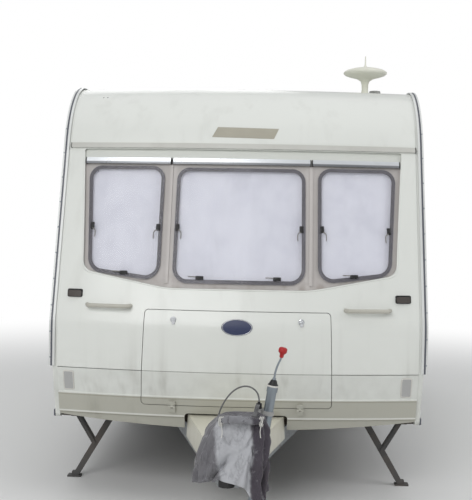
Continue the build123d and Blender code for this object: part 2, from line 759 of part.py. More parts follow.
# Axle tube under the rails, with a saddle at each rail
axle_tube_half = 745
with BuildPart() as axle_tube:
    with BuildSketch(Plane.YZ.offset(-axle_tube_half)):
        with Locations((axle_tube_y, axle_tube_height)):
            RegularPolygon(axle_tube_radius, 6, major_radius=False)
    extrude(amount=2 * axle_tube_half)
    for side in (-1, 1):
        with Locations((side * (rail_x - rail_flange_width / 2), axle_tube_y, axle_tube_height)):
            Box(rail_flange_width - 6, 150, axle_tube_radius - seat_gap,
                align=(Align.CENTER, Align.CENTER, Align.MIN))
save(axle_tube, "axle_tube")

# Trailing arms with backplates and the stub axles that carry the wheels
arm_start = axle_tube_half + seat_gap
arm_thickness = 30
stub_radius = 20
stub_gap = 0.5
drum_start = wheel_x - 149
with BuildPart() as trailing_arms:
    for side in (-1, 1):
        with BuildSketch(Plane.YZ.offset(side * arm_start)):
            with Locations((axle_tube_y, axle_tube_height)):
                Circle(44)
            with Locations((wheel_y, tyre_radius)):
                Circle(36)
            make_hull()
        extrude(amount=side * arm_thickness)
        with BuildSketch(Plane.YZ.offset(side * (arm_start + arm_thickness))):
            with Locations((wheel_y, tyre_radius)):
                Circle(118)
        extrude(amount=side * 5)
        with BuildSketch(Plane.YZ.offset(side * (arm_start + arm_thickness))):
            with Locations((wheel_y, tyre_radius)):
                Circle(stub_radius)
        extrude(amount=side * (wheel_x - 46 - arm_start - arm_thickness))
save(trailing_arms, "trailing_arms")

# Tyre section: how far across from the wheel's middle plane, radius and corner radius
bead_radius = 165
flange_radius = 180
tyre_half = tyre_width / 2
tyre_section = [
    (-55.5, bead_radius + 0.4, 2),
    (-55.5, flange_radius + 3, 4),
    (-tyre_half, 232, 45),
    (-tyre_half + 10, tyre_radius - 10, 14),
    (-52, tyre_radius, 20),
    (52, tyre_radius, 20),
    (tyre_half - 10, tyre_radius - 10, 14),
    (tyre_half, 232, 45),
    (55.5, flange_radius + 3, 4),
    (55.5, bead_radius + 0.4, 2),
]
tyre_grooves = [-34, -11.5, 11.5, 34]
for name, side in (("left", -1), ("right", 1)):
    wheel_plane = Plane((side * wheel_x, wheel_y, tyre_radius), x_dir=(side, 0, 0), z_dir=(0, -side, 0))
    spin_axis = Axis((side * wheel_x, wheel_y, tyre_radius), (1, 0, 0))
    with BuildPart() as tyre:
        with BuildSketch(wheel_plane):
            with BuildLine():
                FilletPolyline(*[(across, r) for across, r, _ in tyre_section],
                               radius=[corner for _, _, corner in tyre_section], close=True)
            make_face()
            with Locations(*[(across, tyre_radius) for across in tyre_grooves]):
                Rectangle(6, 14, mode=Mode.SUBTRACT)
        revolve(axis=spin_axis)
    save(tyre, f"tyre_{name}")

    # Steel rim with a vented disc, and the brake drum that turns with it
    with BuildPart() as rim:
        with BuildSketch(wheel_plane):
            with BuildLine():
                Polyline(
                    (-62, flange_radius), (-56, flange_radius), (-56, bead_radius), (-20, bead_radius),
                    (-14, bead_radius - 18), (14, bead_radius - 18), (20, bead_radius), (56, bead_radius),
                    (56, flange_radius), (62, flange_radius), (62, bead_radius - 4), (23, bead_radius - 4),
                    (17, bead_radius - 22), (-17, bead_radius - 22), (-23, bead_radius - 4),
                    (-62, bead_radius - 4), close=True,
                )
            make_face()
            with BuildLine():
                Polyline(
                    (-149, 0), (-149, 110), (-144, 116), (-46, 116), (-42, 110), (-42, 96), (-16, 100),
                    (-2, 120), (-6, bead_radius - 20), (0, bead_radius - 20), (4, 118), (-12, 94),
                    (-36, 88), (-36, 38), (-8, 32), (-4, 0), close=True,
                )
            make_face()
        revolve(axis=spin_axis)
        with BuildSketch(Plane.YZ.offset(side * (drum_start - 1))):
            with Locations((wheel_y, tyre_radius)):
                Circle(stub_radius + stub_gap)
        extrude(amount=side * (wheel_x - 44 - drum_start), mode=Mode.SUBTRACT)
        with BuildSketch(Plane.YZ.offset(side * (wheel_x - 30))):
            with Locations((wheel_y, tyre_radius)):
                with PolarLocations(108, 12):
                    Circle(9)
        extrude(amount=side * 60, mode=Mode.SUBTRACT)
    save(rim, f"rim_{name}")

# Wheel spats on the side walls, over the tops of the tyres
spat_outer, spat_inner, spat_thickness = 440, 318, 8
with BuildPart() as wheel_spats:
    for side in (-1, 1):
        with BuildSketch(Plane.YZ.offset(side * (body_half_width + seat_gap))):
            with Locations((wheel_y, tyre_radius)):
                Circle(spat_outer)
                Circle(spat_inner, mode=Mode.SUBTRACT)
            with Locations((wheel_y, side_bottom - 40 - 500)):
                Rectangle(1200, 1000, mode=Mode.SUBTRACT)
        extrude(amount=side * spat_thickness)
save(wheel_spats, "wheel_spats")

# Coupling head with the socket for the tow ball, on the overrun tube
coupling_height = 460
ball_y = -overall_length / 2 + 75
ball_height = coupling_height - 15
socket_radius = 25.4
head_half, head_nose, head_rear = 36, 46, ball_y + 190
with BuildPart() as coupling_head:
    with BuildSketch(Plane.XY.offset(ball_height - 22)):
        with BuildLine():
            ThreePointArc((head_half, ball_y), (0, ball_y - head_nose), (-head_half, ball_y))
            Line((-head_half, ball_y), (-head_half + 4, head_rear))
            Line((-head_half + 4, head_rear), (head_half - 4, head_rear))
            Line((head_half - 4, head_rear), (head_half, ball_y))
        make_face()
    extrude(amount=64)
    fillet(coupling_head.faces().sort_by(Axis.Z)[-1].edges(), 14)
    with BuildSketch(Plane.YZ.offset(-14)):
        with BuildLine():
            Polyline(
                (ball_y + 40, ball_height + 38), (ball_y + 90, ball_height + 40),
                (ball_y + 210, ball_height + 120), (ball_y + 204, ball_height + 134),
                (ball_y + 70, ball_height + 70), close=True,
            )
        make_face()
    extrude(amount=28)
    with Locations((0, ball_y, ball_height)):
        Sphere(socket_radius, mode=Mode.SUBTRACT)
    with Locations((0, ball_y, ball_height)):
        Cylinder(socket_radius, 60, align=(Align.CENTER, Align.CENTER, Align.MAX), mode=Mode.SUBTRACT)
save(coupling_head, "coupling_head")

# Overrun unit: rubber bellows behind the head, then the cast housing on the drawbar
bellows_front, housing_front, housing_rear = head_rear + seat_gap, ball_y + 300, ball_y + 520
overrun_plane = Plane((0, 0, coupling_height), x_dir=(0, 1, 0), z_dir=(1, 0, 0))
overrun_axis = Axis((0, 0, coupling_height), (0, 1, 0))
bellows_folds = 8
bellows_end = housing_front - seat_gap
fold = (bellows_end - bellows_front) / bellows_folds
with BuildPart() as overrun_bellows:
    with BuildSketch(overrun_plane):
        with BuildLine():
            corners = [(bellows_front, 0), (bellows_front, 27)]
            for step in range(bellows_folds):
                corners.append((bellows_front + (step + 0.5) * fold, 34))
                corners.append((bellows_front + (step + 1) * fold, 27))
            Polyline(*corners, (bellows_end, 0), close=True)
        make_face()
    revolve(axis=overrun_axis)
save(overrun_bellows, "overrun_bellows")

drawbar_tip_top = rail_top - drawbar_drop
housing_foot_width = 126
housing_foot = drawbar_tip_top + drawbar_drop * (housing_rear - 20 - drawbar_tip_y) / (
    drawbar_start_y - drawbar_tip_y) + seat_gap
with BuildPart() as overrun_housing:
    with BuildSketch(overrun_plane):
        with BuildLine():
            Polyline((housing_front, 0), (housing_front, 36), (housing_front + 20, 36),
                     (housing_front + 26, 30), (housing_rear, 30), (housing_rear, 0), close=True)
        make_face()
    revolve(axis=overrun_axis)
    with BuildSketch(Plane.XY.offset(housing_foot)):
        with Locations((0, (housing_front + 20 + housing_rear) / 2)):
            Rectangle(housing_foot_width, housing_rear - housing_front - 40)
    extrude(amount=8)
    with Locations((0, (housing_front + housing_rear) / 2, drawbar_tip_top + 8)):
        Box(16, housing_rear - housing_front - 60, coupling_height - drawbar_tip_top - 10,
            align=(Align.CENTER, Align.CENTER, Align.MIN))
save(overrun_housing, "overrun_housing")

# Handbrake lever beside the housing
brake_x = -44
with BuildPart() as handbrake:
    with BuildSketch(Plane.YZ.offset(brake_x - 5)):
        with BuildLine():
            Polyline(
                (housing_rear - 100, coupling_height - 8), (housing_rear - 60, coupling_height - 8),
                (housing_rear - 60, coupling_height + 20), (ball_y + 220, coupling_height + 118),
                (ball_y + 212, coupling_height + 96), close=True,
            )
        make_face()
    extrude(amount=10)
    with BuildSketch(Plane.YZ.offset(brake_x)):
        with Locations((housing_rear - 80, coupling_height)):
            Circle(9)
    extrude(amount=-brake_x - 30 - seat_gap)
save(handbrake, "handbrake")

# Jockey wheel: it leans, so its pieces are built in a leaning frame
jockey_lean = radians(9)
jockey_y = nose_y - 850
jockey_top_x, jockey_top_z = 205, 830
jockey_radius, jockey_half, jockey_edge = 100, 24, 12
jockey_height = (
    (jockey_radius - jockey_edge) * cos(jockey_lean)
    + (jockey_half - jockey_edge) * sin(jockey_lean)
    + jockey_edge
)
jockey_foot_x = jockey_top_x - (jockey_top_z - jockey_height) * tan(jockey_lean)
jockey_up = (sin(jockey_lean), 0, cos(jockey_lean))
jockey_across = (cos(jockey_lean), 0, -sin(jockey_lean))
jockey_frame = Plane((jockey_foot_x, jockey_y, jockey_height), x_dir=jockey_across, z_dir=jockey_up)
jockey_side = Plane(jockey_frame.origin, x_dir=(0, 1, 0), z_dir=jockey_across)
jockey_reach = (jockey_top_z - jockey_height) / cos(jockey_lean)
jockey_trail = 35
tube_radius, tube_bore, stem_radius = 24, 21.5, 21
tube_bottom, stem_bottom, stem_top = 235, 122.3, 560
crown_low = 110
with BuildPart() as jockey_tube:
    with BuildSketch(jockey_frame.offset(tube_bottom)):
        Circle(tube_radius)
        Circle(tube_bore, mode=Mode.SUBTRACT)
    extrude(amount=jockey_reach - tube_bottom)
    with BuildSketch(jockey_frame.offset(jockey_reach - 30)):
        Circle(27)
    extrude(amount=30)
    with BuildSketch(jockey_frame.offset(jockey_reach)):
        Circle(24)
    extrude(amount=26, taper=25)
save(jockey_tube, "jockey_tube")

crank_start = jockey_reach + 34
crank_lean = Plane(
    jockey_frame.offset(crank_start).origin,
    z_dir=(sin(jockey_lean + radians(12)), 0, cos(jockey_lean + radians(12))),
)
with BuildPart() as jockey_crank:
    with BuildSketch(jockey_frame.offset(jockey_reach + 26 + seat_gap)):
        Circle(6)
    extrude(amount=12)
    with BuildSketch(crank_lean):
        Circle(6)
    extrude(amount=78)
    with BuildSketch(crank_lean.offset(76)):
        Circle(10)
    extrude(amount=22)
    with BuildSketch(crank_lean.offset(96)):
        Circle(22)
    extrude(amount=34)
    fillet(jockey_crank.edges().filter_by(GeomType.CIRCLE).sort_by(lambda edge: edge.radius)[-2:], 8)
save(jockey_crank, "jockey_crank")

clamp_reach = 335
clamp_height = jockey_height + clamp_reach * cos(jockey_lean)
clamp_x = jockey_foot_x + clamp_reach * sin(jockey_lean)


def drawbar_x(y):
    # The outer face of the drawbar's right leg
    share = (y - drawbar_tip_y) / (drawbar_start_y - drawbar_tip_y)
    return drawbar_tip_x + (rail_x - drawbar_tip_x) * share


with BuildPart() as jockey_clamp:
    with Locations(jockey_frame.offset(clamp_reach)):
        Cylinder(33, 64)
    with BuildSketch(Plane.XY.offset(clamp_height - 24)):
        with BuildLine():
            Polyline(
                (drawbar_x(jockey_y - 40) + 0.4, jockey_y - 40),
                (drawbar_x(jockey_y + 40) + 0.4, jockey_y + 40),
                (clamp_x, jockey_y + 30), (clamp_x, jockey_y - 30), close=True,
            )
        make_face()
    extrude(amount=-36)
    with Locations(jockey_frame.offset(clamp_reach)):
        Cylinder(tube_radius + seat_gap, 400, mode=Mode.SUBTRACT)
save(jockey_clamp, "jockey_clamp")

with BuildPart() as jockey_stem:
    with BuildSketch(jockey_frame.offset(stem_bottom)):
        Circle(stem_radius)
    extrude(amount=stem_top - stem_bottom)
    with BuildSketch(jockey_frame.offset(stem_bottom)):
        Circle(8.5)
    extrude(amount=32, mode=Mode.SUBTRACT)
save(jockey_stem, "jockey_stem")

fork_inner, fork_plate = 28, 5
with BuildPart() as jockey_fork:
    with BuildSketch(jockey_frame.offset(crown_low)):
        with Locations((0, jockey_trail / 3)):
            RectangleRounded(2 * (fork_inner + fork_plate), 64, 8)
    extrude(amount=12)
    with BuildSketch(jockey_frame.offset(crown_low + 12)):
        Circle(8)
    extrude(amount=28)
    for side in (-1, 1):
        with BuildSketch(jockey_side.offset(side * fork_inner)):
            with BuildLine():
                Polyline((-20, crown_low + 6), (44, crown_low + 6), (jockey_trail + 16, -10),
                         (jockey_trail - 16, -10), close=True)
            make_face()
        extrude(amount=side * fork_plate)
    with BuildSketch(jockey_side.offset(-fork_inner - fork_plate)):
        with Locations((jockey_trail, 0)):
            Circle(7)
    extrude(amount=2 * (fork_inner + fork_plate))
save(jockey_fork, "jockey_fork")

with BuildPart() as jockey_wheel:
    with BuildSketch(jockey_side.offset(-jockey_half)):
        with Locations((jockey_trail, 0)):
            Circle(jockey_radius)
    extrude(amount=2 * jockey_half)
    fillet(jockey_wheel.edges(), jockey_edge)
    with BuildSketch(jockey_side.offset(-jockey_half)):
        with Locations((jockey_trail, 0)):
            Circle(66)
            Circle(22, mode=Mode.SUBTRACT)
    extrude(amount=14, mode=Mode.SUBTRACT)
    with BuildSketch(jockey_side.offset(jockey_half)):
        with Locations((jockey_trail, 0)):
            Circle(66)
            Circle(22, mode=Mode.SUBTRACT)
    extrude(amount=-14, mode=Mode.SUBTRACT)
    with BuildSketch(jockey_side.offset(-jockey_half)):
        with Locations((jockey_trail, 0)):
            Circle(7.5)
    extrude(amount=2 * jockey_half, mode=Mode.SUBTRACT)
save(jockey_wheel, "jockey_wheel")

# Drawbar fairing: a tapering cover over the drawbar's legs, open below
fairing_top = cutout_top - 10
fairing_wall = 4
fairing_taper = 8
gland_x, gland_y = -70, housing_rear - 14
gland_top = fairing_top + 12
fairing_sections = [
    (nose_y - 25, cutout_half - 11, 376),
    (housing_rear - 30, 136, 384),
]
with BuildPart() as fairing:
    for grow, mode in ((0, Mode.ADD), (fairing_wall, Mode.SUBTRACT)):
        for y, half, low in fairing_sections:
            past = grow if y < nose_y - 100 else -grow
            with BuildSketch(Plane.XZ.offset(past - y)):
                with BuildLine():
                    Polyline(
                        (-half + grow, low - grow), (-half + fairing_taper + grow, fairing_top - grow),
                        (half - fairing_taper - grow, fairing_top - grow), (half - grow, low - grow),
                        close=True,
                    )
                make_face()
        loft(mode=mode)
    with BuildSketch(Plane.XY.offset(fairing_top - fairing_wall / 2)):
        with Locations((gland_x, gland_y)):
            Circle(10)
    extrude(amount=gland_top - fairing_top + fairing_wall / 2)
save(fairing, "drawbar_fairing")

# Hitch cover: a fabric hood over the coupling, open below and behind, longer on its +X side
cover_low, cover_hem, cover_high = 335, 415, 728
cover_front = -overall_length / 2
cover_rear = cover_front + 345
cover_wall = 6
cover_rest = ball_y - head_nose - seat_gap - cover_wall
cover_sections = [
    # height, middle in X, width, front, rear and corner radius
    (cover_low, 18, 366, cover_front, cover_rear, 60),
    (ball_height + 10, 26, 342, cover_rest, cover_rear, 60),
    (600, 34, 320, cover_rest, cover_rear, 60),
    (cover_high, 64, 214, cover_front + 46, cover_rear - 30, 50),
]
with BuildPart() as hitch_cover:
    for grow, mode in ((0, Mode.ADD), (cover_wall, Mode.SUBTRACT)):
        for height, middle_x, width, front, rear, radius in cover_sections:
            level = height
            if grow:
                level = height - 5 if height == cover_low else height - grow * (height == cover_high)
            with BuildSketch(Plane.XY.offset(level)):
                with Locations((middle_x, (front + rear) / 2)):
                    RectangleRounded(width - 2 * grow, rear - front - 2 * grow, radius - grow)
        loft(ruled=True, mode=mode)
    with Locations((0, cover_rear - 40, 0)):
        Box(800, 200, 2000, align=(Align.CENTER, Align.MIN, Align.CENTER), mode=Mode.SUBTRACT)
    with Locations((112, cover_front, cover_hem)):
        Box(500, 1000, 400, align=(Align.MAX, Align.CENTER, Align.MAX), mode=Mode.SUBTRACT)
save(hitch_cover, "hitch_cover")

# Corner steadies. Each leg's top runs along the base as its brace swings about a fixed pin.
steady_pin_x, steady_pin_height = body_half_width - 60, 405
brace_length, leg_length = 215, 455
leg_half, leg_sheet, leg_deep = 20, 3, 26
brace_in, brace_out = 25, 30
base_in, base_out = 33, 37
pin_radius, pin_gap = 6, 0.5
pad_height = 10
steady_angle = asin((steady_pin_height - pad_height - 4) / leg_length)
leg_top_x = steady_pin_x - 2 * brace_length * cos(steady_angle)
knee_x = steady_pin_x - brace_length * cos(steady_angle)
knee_height = steady_pin_height - brace_length * sin(steady_angle)
foot_x = leg_top_x + leg_length * cos(steady_angle)
steady_corners = [
    ("front_left", -1, nose_y + 420),
    ("front_right", 1, nose_y + 420),
    ("rear_left", -1, tail_y - 300),
    ("rear_right", 1, tail_y - 300),
]
base_start, base_end = 566, 1042
end_plate_width = 26
with BuildPart() as steady_bases:
    for _, side, place in steady_corners:
        with Locations((side * (base_start + base_end) / 2, place, rail_top)):
            Box(base_end - base_start, 2 * base_out, 4, align=(Align.CENTER, Align.CENTER, Align.MAX))
        for edge in (-1, 1):
            with Locations((side * (base_start + base_end) / 2, place + edge * (base_in + base_out) / 2,
                            rail_top)):
                Box(
                    base_end - base_start, base_out - base_in, 62,
                    align=(Align.CENTER, Align.CENTER, Align.MAX),
                )
        # The end plate is narrow below its shoulder, so the leg's flanges pass beside it
        for across, deep in ((2 * base_out, 33), (end_plate_width, 62)):
            with Locations((side * (base_start + 2), place, rail_top)):
                Box(4, across, deep, align=(Align.CENTER, Align.CENTER, Align.MAX))
        with BuildSketch(Plane.YZ.offset(side * base_start)):
            with Locations((place, steady_pin_height)):
                Circle(pin_radius)
        extrude(amount=side * (base_end - base_start + 12))
        for edge in (-1, 1):
            with BuildSketch(Plane.XZ.offset(-place - edge * base_in)):
                with Locations((side * steady_pin_x, steady_pin_height)):
                    Circle(pin_radius + pin_gap)
            extrude(amount=-edge * (base_out - base_in), mode=Mode.SUBTRACT)
save(steady_bases, "steady_bases")

for name, side, place in steady_corners:
    # Two plates joined by the knee pin, with stub pins into the base
    with BuildPart() as steady_brace:
        for edge in (-1, 1):
            with BuildSketch(Plane.XZ.offset(-place - edge * brace_in)):
                with Locations((side * steady_pin_x, steady_pin_height), (side * knee_x, knee_height)):
                    Circle(11)
                make_hull()
            extrude(amount=-edge * (brace_out - brace_in))
            with BuildSketch(Plane.XZ.offset(-place - edge * brace_in)):
                with Locations((side * steady_pin_x, steady_pin_height)):
                    Circle(pin_radius)
            extrude(amount=-edge * (base_out - brace_in))
        with BuildSketch(Plane.XZ.offset(-place + brace_out)):
            with Locations((side * knee_x, knee_height)):
                Circle(pin_radius)
        extrude(amount=-2 * brace_out)
    save(steady_brace, f"steady_brace_{name}")

    # The leg is a channel open towards the screw, with its foot pad
    leg_across = Plane(
        (side * leg_top_x, place, steady_pin_height),
        x_dir=(side * cos(steady_angle), 0, -sin(steady_angle)),
        z_dir=(0, -side, 0),
    )
    with BuildPart() as steady_leg:
        with BuildSketch(leg_across.offset(-leg_half)):
            with BuildLine():
                Polyline((-13, -13), (-13, 13), (330, 10), (leg_length, 8), (leg_length, -leg_deep),
                         (0, -leg_deep), close=True)
            make_face()
        extrude(amount=2 * leg_half)
        with BuildSketch(leg_across.offset(-leg_half + leg_sheet)):
            with BuildLine():
                Polyline(
                    (-40, -40), (-40, 60), (leg_length + 40, 60), (leg_length + 40, leg_sheet - leg_deep),
                    (0, leg_sheet - leg_deep), (0, -40), close=True,
                )
            make_face()
        extrude(amount=2 * (leg_half - leg_sheet), mode=Mode.SUBTRACT)
        with BuildSketch(leg_across.offset(-leg_half - 1)):
            with Locations((brace_length, 0)):
                Circle(pin_radius + pin_gap)
        extrude(amount=2 * leg_half + 2, mode=Mode.SUBTRACT)
        for edge in (-1, 1):
            with BuildSketch(leg_across.offset(edge * (leg_half - leg_sheet))):
                Circle(pin_radius)
            extrude(amount=edge * (base_in - 1 - leg_half + leg_sheet))
        with Locations((side * foot_x, place, 0)):
            Box(84, 58, pad_height, align=(Align.CENTER, Align.CENTER, Align.MIN))
        with Locations((side * foot_x, place, pad_height)):
            Box(30, 2 * leg_half, 22, align=(Align.CENTER, Align.CENTER, Align.MIN))
    save(steady_leg, f"steady_leg_{name}")

# Roof fittings: the saucer aerial on its column, and the flue cap
aerial_x, aerial_y = body_half_width - 260, nose_y + 1150
aerial_base = roof_height + seat_gap
flue_x, flue_y = body_half_width - 165, nose_y + 1400
with BuildPart() as roof_fittings:
    with BuildSketch(Plane.XZ.offset(-aerial_y)):
        with BuildLine():
            Polyline(
                (aerial_x, aerial_base), (aerial_x + 62, aerial_base), (aerial_x + 58, aerial_base + 8),
                (aerial_x + 34, aerial_base + 26), (aerial_x + 21, aerial_base + 90),
                (aerial_x + 34, aerial_base + 140),
            )
            ThreePointArc((aerial_x + 34, aerial_base + 140), (aerial_x + 100, aerial_base + 154),
                          (aerial_x + 149, aerial_base + 178))
            ThreePointArc((aerial_x + 149, aerial_base + 178), (aerial_x + 90, aerial_base + 204),
                          (aerial_x + 14, aerial_base + 222))
            Polyline((aerial_x + 14, aerial_base + 222), (aerial_x + 7, aerial_base + 240),
                     (aerial_x + 4, aerial_base + 302), (aerial_x, aerial_base + 302),
                     (aerial_x, aerial_base))
        make_face()
    revolve(axis=Axis((aerial_x, aerial_y, 0), (0, 0, 1)))
    with BuildSketch(Plane.XZ.offset(-flue_y)):
        with BuildLine():
            Polyline(
                (flue_x, aerial_base), (flue_x + 46, aerial_base), (flue_x + 42, aerial_base + 10),
                (flue_x + 30, aerial_base + 14), (flue_x + 30, aerial_base + 100),
                (flue_x + 37, aerial_base + 106), (flue_x + 35, aerial_base + 124),
                (flue_x + 20, aerial_base + 131), (flue_x, aerial_base + 132), close=True,
            )
        make_face()
    revolve(axis=Axis((flue_x, flue_y, 0), (0, 0, 1)))
save(roof_fittings, "roof_fittings")

# Two louvred vents low on the wall away from the door
vent_y, vent_heights = 1080, (900, 1180)
vent_width, vent_tall, louvre_count = 430, 150, 5
flap_stand = 9
service_flaps = [
    # place along the body, height, width and height of the flap
    (2300, 760, 330, 370),
    (-700, 640, 170, 200),
    (-1100, 640, 150, 150),
]
with BuildPart() as side_vents:
    for height in vent_heights:
        with BuildSketch(Plane.YZ.offset(-body_half_width - seat_gap)):
            with Locations((vent_y, height)):
                RectangleRounded(vent_width, vent_tall, 10)
        extrude(amount=-9)
        pitch = (vent_tall - 30) / louvre_count
        for step in range(louvre_count):
            centre = height - vent_tall / 2 + 15 + (step + 0.5) * pitch
            with BuildSketch(Plane.YZ.offset(-body_half_width - 6)):
                with Locations((vent_y, centre)):
                    Rectangle(vent_width - 50, pitch * 0.45)
            extrude(amount=-10, mode=Mode.SUBTRACT)
    # Service flaps: the toilet tank's door, the mains inlet and the water inlet
    for place, height, width, tall in service_flaps:
        with BuildSketch(Plane.YZ.offset(-body_half_width - seat_gap)):
            with Locations((place, height)):
                RectangleRounded(width, tall, 18)
        extrude(amount=-flap_stand, taper=12)
        with BuildSketch(Plane.YZ.offset(-body_half_width - seat_gap - flap_stand)):
            with Locations((place, height)):
                RectangleRounded(width - 34, tall - 34, 10)
                RectangleRounded(width - 40, tall - 40, 8, mode=Mode.SUBTRACT)
        extrude(amount=2, mode=Mode.SUBTRACT)
save(side_vents, "side_vents")

# Parked plug on a small holder strapped to the jockey tube, and its cable
plug_x, plug_y = 139, jockey_y
plug_low, plug_high, plug_radius = 716, 750, 14
holder_reach = (plug_low - 30 - jockey_height) / cos(jockey_lean)
with BuildPart() as plug_holder:
    with BuildSketch(Plane.XY.offset(plug_low - 32)):
        with Locations((plug_x, plug_y)):
            Circle(plug_radius + 2)
        with Locations((plug_x + 20, plug_y)):
            Rectangle(40, 14)
    extrude(amount=32 - seat_gap)
    with Locations(jockey_frame.offset(holder_reach + 10)):
        Cylinder(tube_radius + 5, 20)
        Cylinder(tube_radius + seat_gap, 200, mode=Mode.SUBTRACT)
save(plug_holder, "plug_holder")

with BuildPart() as plug:
    with BuildSketch(Plane.XY.offset(plug_low)):
        with Locations((plug_x, plug_y)):
            Circle(plug_radius)
    extrude(amount=plug_high - plug_low - 8)
    with BuildSketch(Plane.XY.offset(plug_high - 8)):
        with Locations((plug_x, plug_y)):
            Circle(7)
    extrude(amount=8)
save(plug, "plug")

# The cable rises from the plug and dips behind the cover to a gland in the drawbar fairing
cable_radius = 4
cable_points = [
    (plug_x, plug_y, plug_high),
    (plug_x, plug_y, 785),
    (104, -2527, 822),
    (56, -2522, 826),
    (6, -2505, 795),
    (-34, -2475, 738),
    (-60, -2430, 676),
    (-70, -2380, 616),
    (gland_x, gland_y, 566),
    (gland_x, gland_y, gland_top),
]
cable_runs = [
    sqrt(sum((b - a) ** 2 for a, b in zip(first, second)))
    for first, second in zip(cable_points, cable_points[1:])
]
cable_radii = []
for index in range(1, len(cable_points) - 1):
    before = Vector(*cable_points[index]) - Vector(*cable_points[index - 1])
    after = Vector(*cable_points[index + 1]) - Vector(*cable_points[index])
    turn = radians(before.get_angle(after))
    shorter = min(cable_runs[index - 1], cable_runs[index])
    cable_radii.append(0.45 * shorter / tan(turn / 2))
print("cable runs", [round(run) for run in cable_runs])
print("cable radii", [round(radius) for radius in cable_radii])
with BuildLine() as cable_line:
    FilletPolyline(*cable_points, radius=cable_radii)
cable_path = cable_line.wire()
with BuildPart() as cable:
    with BuildSketch(Plane(cable_points[0], z_dir=cable_path % 0)):
        Circle(cable_radius)
    sweep(path=cable_path)
print("cable length", round(cable_path.length), "volume ratio",
      round(cable.part.volume / (cable_path.length * 3.14159 * cable_radius**2), 4))
save(cable, "cable")

# Blank oval badge on the locker lid
badge_height, badge_wide, badge_tall = 1026, 176, 93
with BuildPart() as lid_badge:
    sweep_front(front_band(3, seat_gap, badge_height - 100, badge_height + 100))
    with BuildSketch(Plane.XZ):
        with Locations((0, badge_height)):
            Ellipse(badge_wide / 2, badge_tall / 2)
    extrude(amount=-nose_y + 600, mode=Mode.INTERSECT)
save(lid_badge, "lid_badge")
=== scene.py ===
import json
import math
import random
import bpy
import bmesh
from mathutils import Matrix, Vector, noise
from mathutils.bvhtree import BVHTree


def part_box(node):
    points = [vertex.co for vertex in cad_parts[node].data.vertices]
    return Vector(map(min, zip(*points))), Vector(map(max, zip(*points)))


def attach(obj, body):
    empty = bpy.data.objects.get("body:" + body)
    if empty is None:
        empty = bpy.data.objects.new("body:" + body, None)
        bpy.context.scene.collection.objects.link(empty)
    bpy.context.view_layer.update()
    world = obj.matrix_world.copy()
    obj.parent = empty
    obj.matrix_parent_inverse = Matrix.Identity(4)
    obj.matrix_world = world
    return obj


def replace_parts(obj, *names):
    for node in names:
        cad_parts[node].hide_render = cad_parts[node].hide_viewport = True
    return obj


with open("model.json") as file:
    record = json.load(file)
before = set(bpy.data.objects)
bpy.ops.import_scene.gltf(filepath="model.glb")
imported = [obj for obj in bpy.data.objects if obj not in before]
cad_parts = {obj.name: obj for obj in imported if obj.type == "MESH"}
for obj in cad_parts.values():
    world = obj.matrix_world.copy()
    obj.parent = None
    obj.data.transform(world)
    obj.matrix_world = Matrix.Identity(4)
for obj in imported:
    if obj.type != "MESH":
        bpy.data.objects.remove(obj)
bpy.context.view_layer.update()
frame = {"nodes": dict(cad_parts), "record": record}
nodes = frame["nodes"]
scene = bpy.context.scene
print("caravan: frame loaded,", len(nodes), "nodes")


def newObject(name, data):
    made = bpy.data.objects.new(name, data)
    scene.collection.objects.link(made)
    return made


# Camera and light, as the photograph has them
studio = {
    "cameraPlace": (0.1756, -7.175, 1.67), "lens": 72.84,
    "turnLeft": 2.014, "tiltDown": 2.196, "roll": 1.058,  # degrees, from the photograph's perspective
    "floorSize": 60.0, "fadeFrom": 3.2, "fadeTo": 8.0,
    "skyColour": (0.96, 0.98, 1.0, 1), "skyStrength": 0.42,
    "lamps": [  # name, place, aim, power, width
        ("topLamp", (0.0, 0.0, 9.0), (0, 0, 0), 170.0, 9.0),
        ("keyLamp", (-2.5, -9.0, 5.2), (0, 0, 1.3), 310.0, 5.0),
        ("fillLamp", (6.0, -3.0, 5.0), (0, 0, 1.2), 110.0, 5.0),
        ("backLamp", (-2.0, 7.5, 6.0), (0, 0, 1.2), 110.0, 5.0),
    ],
}


def placeCamera():
    eye = bpy.data.cameras.new("camera")
    eye.lens, eye.sensor_width, eye.sensor_fit = studio["lens"], 36.0, "HORIZONTAL"
    eye.clip_end = 200
    holder = newObject("camera", eye)
    turn = Matrix.Rotation(math.radians(studio["turnLeft"]), 4, "Z")
    tilt = Matrix.Rotation(math.radians(90 - studio["tiltDown"]), 4, "X")
    roll = Matrix.Rotation(math.radians(studio["roll"]), 4, "Z")
    holder.matrix_world = Matrix.Translation(studio["cameraPlace"]) @ turn @ tilt @ roll
    scene.camera = holder


placeCamera()
scene.view_settings.view_transform = "Standard"


class Wire:
    # One output socket that takes part in sums
    def __init__(self, net, socket):
        self.net, self.socket = net, socket

    def calc(self, operation, first, second=None):
        return self.net.node("ShaderNodeMath", {"operation": operation}, {0: first, 1: second})

    def __add__(self, other): return self.calc("ADD", self, other)
    def __radd__(self, other): return self.calc("ADD", other, self)
    def __sub__(self, other): return self.calc("SUBTRACT", self, other)
    def __rsub__(self, other): return self.calc("SUBTRACT", other, self)
    def __mul__(self, other): return self.calc("MULTIPLY", self, other)
    def __rmul__(self, other): return self.calc("MULTIPLY", other, self)
    def above(self, other): return self.calc("GREATER_THAN", self, other)
    def below(self, other): return self.calc("LESS_THAN", self, other)
    def most(self, other): return self.calc("MAXIMUM", self, other)
    def size(self): return self.calc("ABSOLUTE", self)
    def wave(self): return self.calc("SINE", self)


